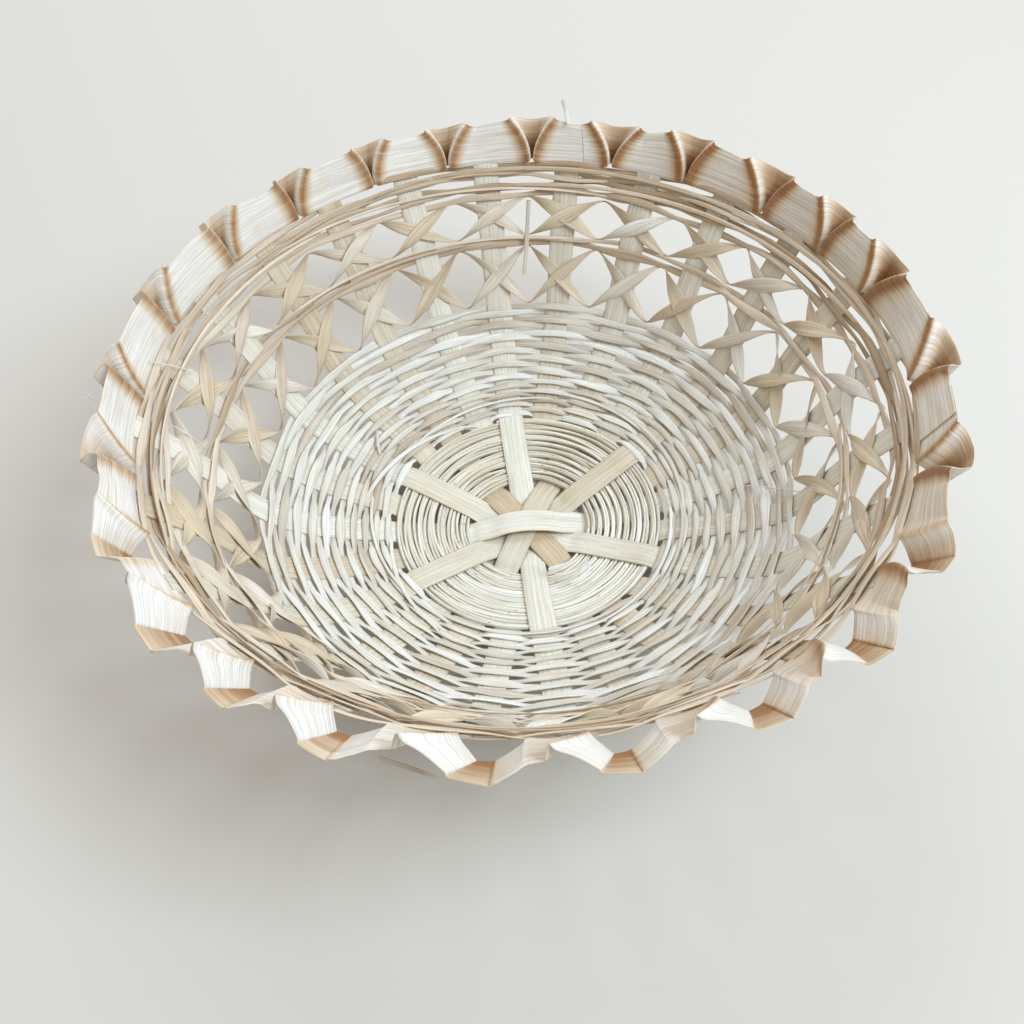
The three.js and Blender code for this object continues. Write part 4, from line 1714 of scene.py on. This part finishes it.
@dataclass
class Studio:
    """Floor, lights and camera.

    Attributes:
        focal: focal length in picture widths of the camera's view.
        away: distance in millimetres from the camera to the point that it aims at.
        tilt: how far the camera looks down, in degrees.
        roll: how far it is turned about its view, in degrees.
        aim: place of that point in the picture, in pixels from the top left.
        aim_height: height of that point above the floor, in millimetres.
        picture: side of the picture in pixels.
        sensor: width of the camera's sensor in millimetres.
        nearest: least distance that the camera sees, in metres.
        floor_size: side of the floor in metres.
        lamp_aim: point that the lamps shine at, in metres.
        glow: colour of the surroundings, and their strength.
    """

    focal: float = 1050.0
    away: float = 346.435
    tilt: float = 51.91
    roll: float = -3.027
    aim: tuple = (526.745, 514.907)
    aim_height: float = 8.2
    picture: float = 1024.0
    sensor: float = 36.0
    nearest: float = 0.01
    floor_size: float = 6.0
    floor_colour: tuple = (0.62, 0.61, 0.59, 1)
    floor_roughness: float = 0.9
    floor_shine: float = 0.1
    lamps: tuple = (
        Lamp("window", (0.74, -0.3, 0.95), 0.6, 12.5, (0.8, 0.92, 1.0)),
        Lamp("sky", (-0.15, 0.9, 0.9), 0.9, 7.5, (0.88, 0.95, 1.0)),
    )
    lamp_aim: tuple = (0, 0, 0.04)
    glow: tuple = ((1.0, 0.9, 0.79, 1), 0.56)

    def camera(self) -> None:
        """Makes the camera at the photograph's angle."""
        tilt = math.radians(self.tilt)
        roll = math.radians(self.roll)
        ahead = Vector((0, math.cos(tilt), -math.sin(tilt)))
        above = Vector((0, math.sin(tilt), math.cos(tilt)))
        right = Vector((1, 0, 0))
        to_right = right * math.cos(roll) + above * math.sin(roll)
        to_top = above * math.cos(roll) - right * math.sin(roll)
        shift_x = (self.aim[0] - self.picture / 2) / self.focal * self.away
        shift_y = -(self.aim[1] - self.picture / 2) / self.focal * self.away
        spot = Vector((0, 0, self.aim_height)) - ahead * self.away
        spot = (spot - to_right * shift_x - to_top * shift_y) * METRE
        data = bpy.data.cameras.new("camera")
        data.sensor_width = self.sensor
        data.lens = self.sensor * self.focal / self.picture
        data.clip_start = self.nearest
        camera = bpy.data.objects.new("camera", data)
        turn = Matrix((to_right, to_top, -ahead)).transposed()
        camera.matrix_world = Matrix.Translation(spot) @ turn.to_4x4()
        bpy.context.scene.collection.objects.link(camera)
        bpy.context.scene.camera = camera

    def floor(self) -> None:
        """Makes the plain pale floor."""
        half = self.floor_size / 2
        mesh = bpy.data.meshes.new("floor")
        corners = [(-half, -half, 0), (half, -half, 0), (half, half, 0), (-half, half, 0)]
        mesh.from_pydata(corners, [], [(0, 1, 2, 3)])
        material = bpy.data.materials.new("floor paper")
        material.use_nodes = True
        nodes = NodeMaker(material.node_tree)
        surface = {
            "Base Color": self.floor_colour,
            "Roughness": self.floor_roughness,
            "Specular IOR Level": self.floor_shine,
        }
        shader = nodes.make("ShaderNodeBsdfPrincipled", {}, surface)
        nodes.make("ShaderNodeOutputMaterial", {}, [shader])
        mesh.materials.append(material)
        floor = bpy.data.objects.new("floor", mesh)
        bpy.context.scene.collection.objects.link(floor)

    def add_lamp(self, lamp: Lamp) -> None:
        """Adds one lamp."""
        data = bpy.data.lights.new(lamp.name, "AREA")
        data.shape = "SQUARE"
        data.size = lamp.size
        data.energy = lamp.watts
        data.color = lamp.colour
        light = bpy.data.objects.new(lamp.name, data)
        light.location = lamp.spot
        aim = Vector(self.lamp_aim) - Vector(lamp.spot)
        light.rotation_mode = "QUATERNION"
        light.rotation_quaternion = aim.to_track_quat("-Z", "Y")
        bpy.context.scene.collection.objects.link(light)

    def world(self) -> None:
        """Gives the scene an even pale surrounding."""
        world = bpy.data.worlds.new("studio")
        world.use_nodes = True
        bpy.context.scene.world = world
        nodes = NodeMaker(world.node_tree)
        colour, strength = self.glow
        glow = nodes.make("ShaderNodeBackground", {}, {"Color": colour, "Strength": strength})
        nodes.make("ShaderNodeOutputWorld", {}, [glow])

    def build(self) -> None:
        """Sets up the whole studio."""
        self.camera()
        self.floor()
        for lamp in self.lamps:
            self.add_lamp(lamp)
        self.world()
        bpy.context.scene.view_settings.view_transform = "Standard"


STAKE_FINISH = BambooFinish(
    pale=(0.89, 0.89, 0.82, 1),
    middle=(0.77, 0.74, 0.64, 1),
    deep=(0.65, 0.53, 0.37, 1),
    under=(0.94, 0.87, 0.76, 1),
    edge=(0.88, 0.8, 0.68, 1),
    lines_per_mm=2.2,
    line_depth=0.7,
    fleck=0.35,
)
COIL_FINISH = BambooFinish(
    pale=(0.94, 0.96, 0.95, 1),
    middle=(0.83, 0.83, 0.78, 1),
    deep=(0.64, 0.58, 0.48, 1),
    under=(0.9, 0.84, 0.74, 1),
    edge=(1.0, 0.97, 0.92, 1),
    lines_per_mm=3.0,
    line_depth=0.5,
    fleck=0.8,
    roughness=0.62,
)
WEAVER_FINISH = BambooFinish(
    pale=(0.94, 0.96, 0.95, 1),
    middle=(0.81, 0.79, 0.72, 1),
    deep=(0.59, 0.5, 0.4, 1),
    under=(0.92, 0.85, 0.74, 1),
    edge=(0.84, 0.77, 0.66, 1),
)
STAR_FINISH = BambooFinish(
    pale=(0.93, 0.92, 0.88, 1),
    middle=(0.79, 0.72, 0.61, 1),
    deep=(0.6, 0.45, 0.3, 1),
    under=(0.94, 0.88, 0.79, 1),
    edge=(0.88, 0.8, 0.7, 1),
    lines_per_mm=2.4,
)
BAND_FINISH = BambooFinish(
    pale=(0.88, 0.79, 0.66, 1),
    middle=(0.7, 0.58, 0.45, 1),
    deep=(0.48, 0.35, 0.22, 1),
    under=(0.94, 0.87, 0.78, 1),
    edge=(0.86, 0.77, 0.66, 1),
)
# The ribbon's deep colour is the orange-brown of the painted shade in its hollows and loops.
RIBBON_FINISH = BambooFinish(
    pale=(0.91, 0.89, 0.86, 1),
    middle=(0.74, 0.59, 0.42, 1),
    deep=(0.4, 0.2, 0.08, 1),
    under=(1.0, 0.99, 0.97, 1),
    edge=(0.95, 0.9, 0.82, 1),
    under_tone=1.0,
    lines_per_mm=1.8,
    fleck=0.25,
    gloss=0.2,
    roughness=0.48,
)


def main() -> None:
    """Builds the basket and its studio."""
    logging.basicConfig(level=logging.INFO, format="%(message)s")
    Studio().build()
    maker = PieceMaker()
    wall = Wall()
    base = BaseStrips(wall, maker)
    base.build(STAKE_FINISH.material("stake bamboo"))
    SideStakes(base, maker).build(STAKE_FINISH.material("side stake bamboo"))
    BaseCoil(base, maker).build(COIL_FINISH.material("coil bamboo"))
    weaver = WEAVER_FINISH.material("weaver bamboo")
    WallWeave(wall, maker).build(weaver)
    Stars(wall, maker).build(STAR_FINISH.material("star bamboo"))
    band = BAND_FINISH.material("band bamboo")
    Band(wall, maker).build(band)
    RimRibbon(wall, maker).build(RIBBON_FINISH.material("ribbon bamboo"))
    LooseSplints(wall, maker).build({"band": band, "weaver": weaver})
    log.info("%d pieces", len(maker.made))


if __name__ == "__main__":
    main()
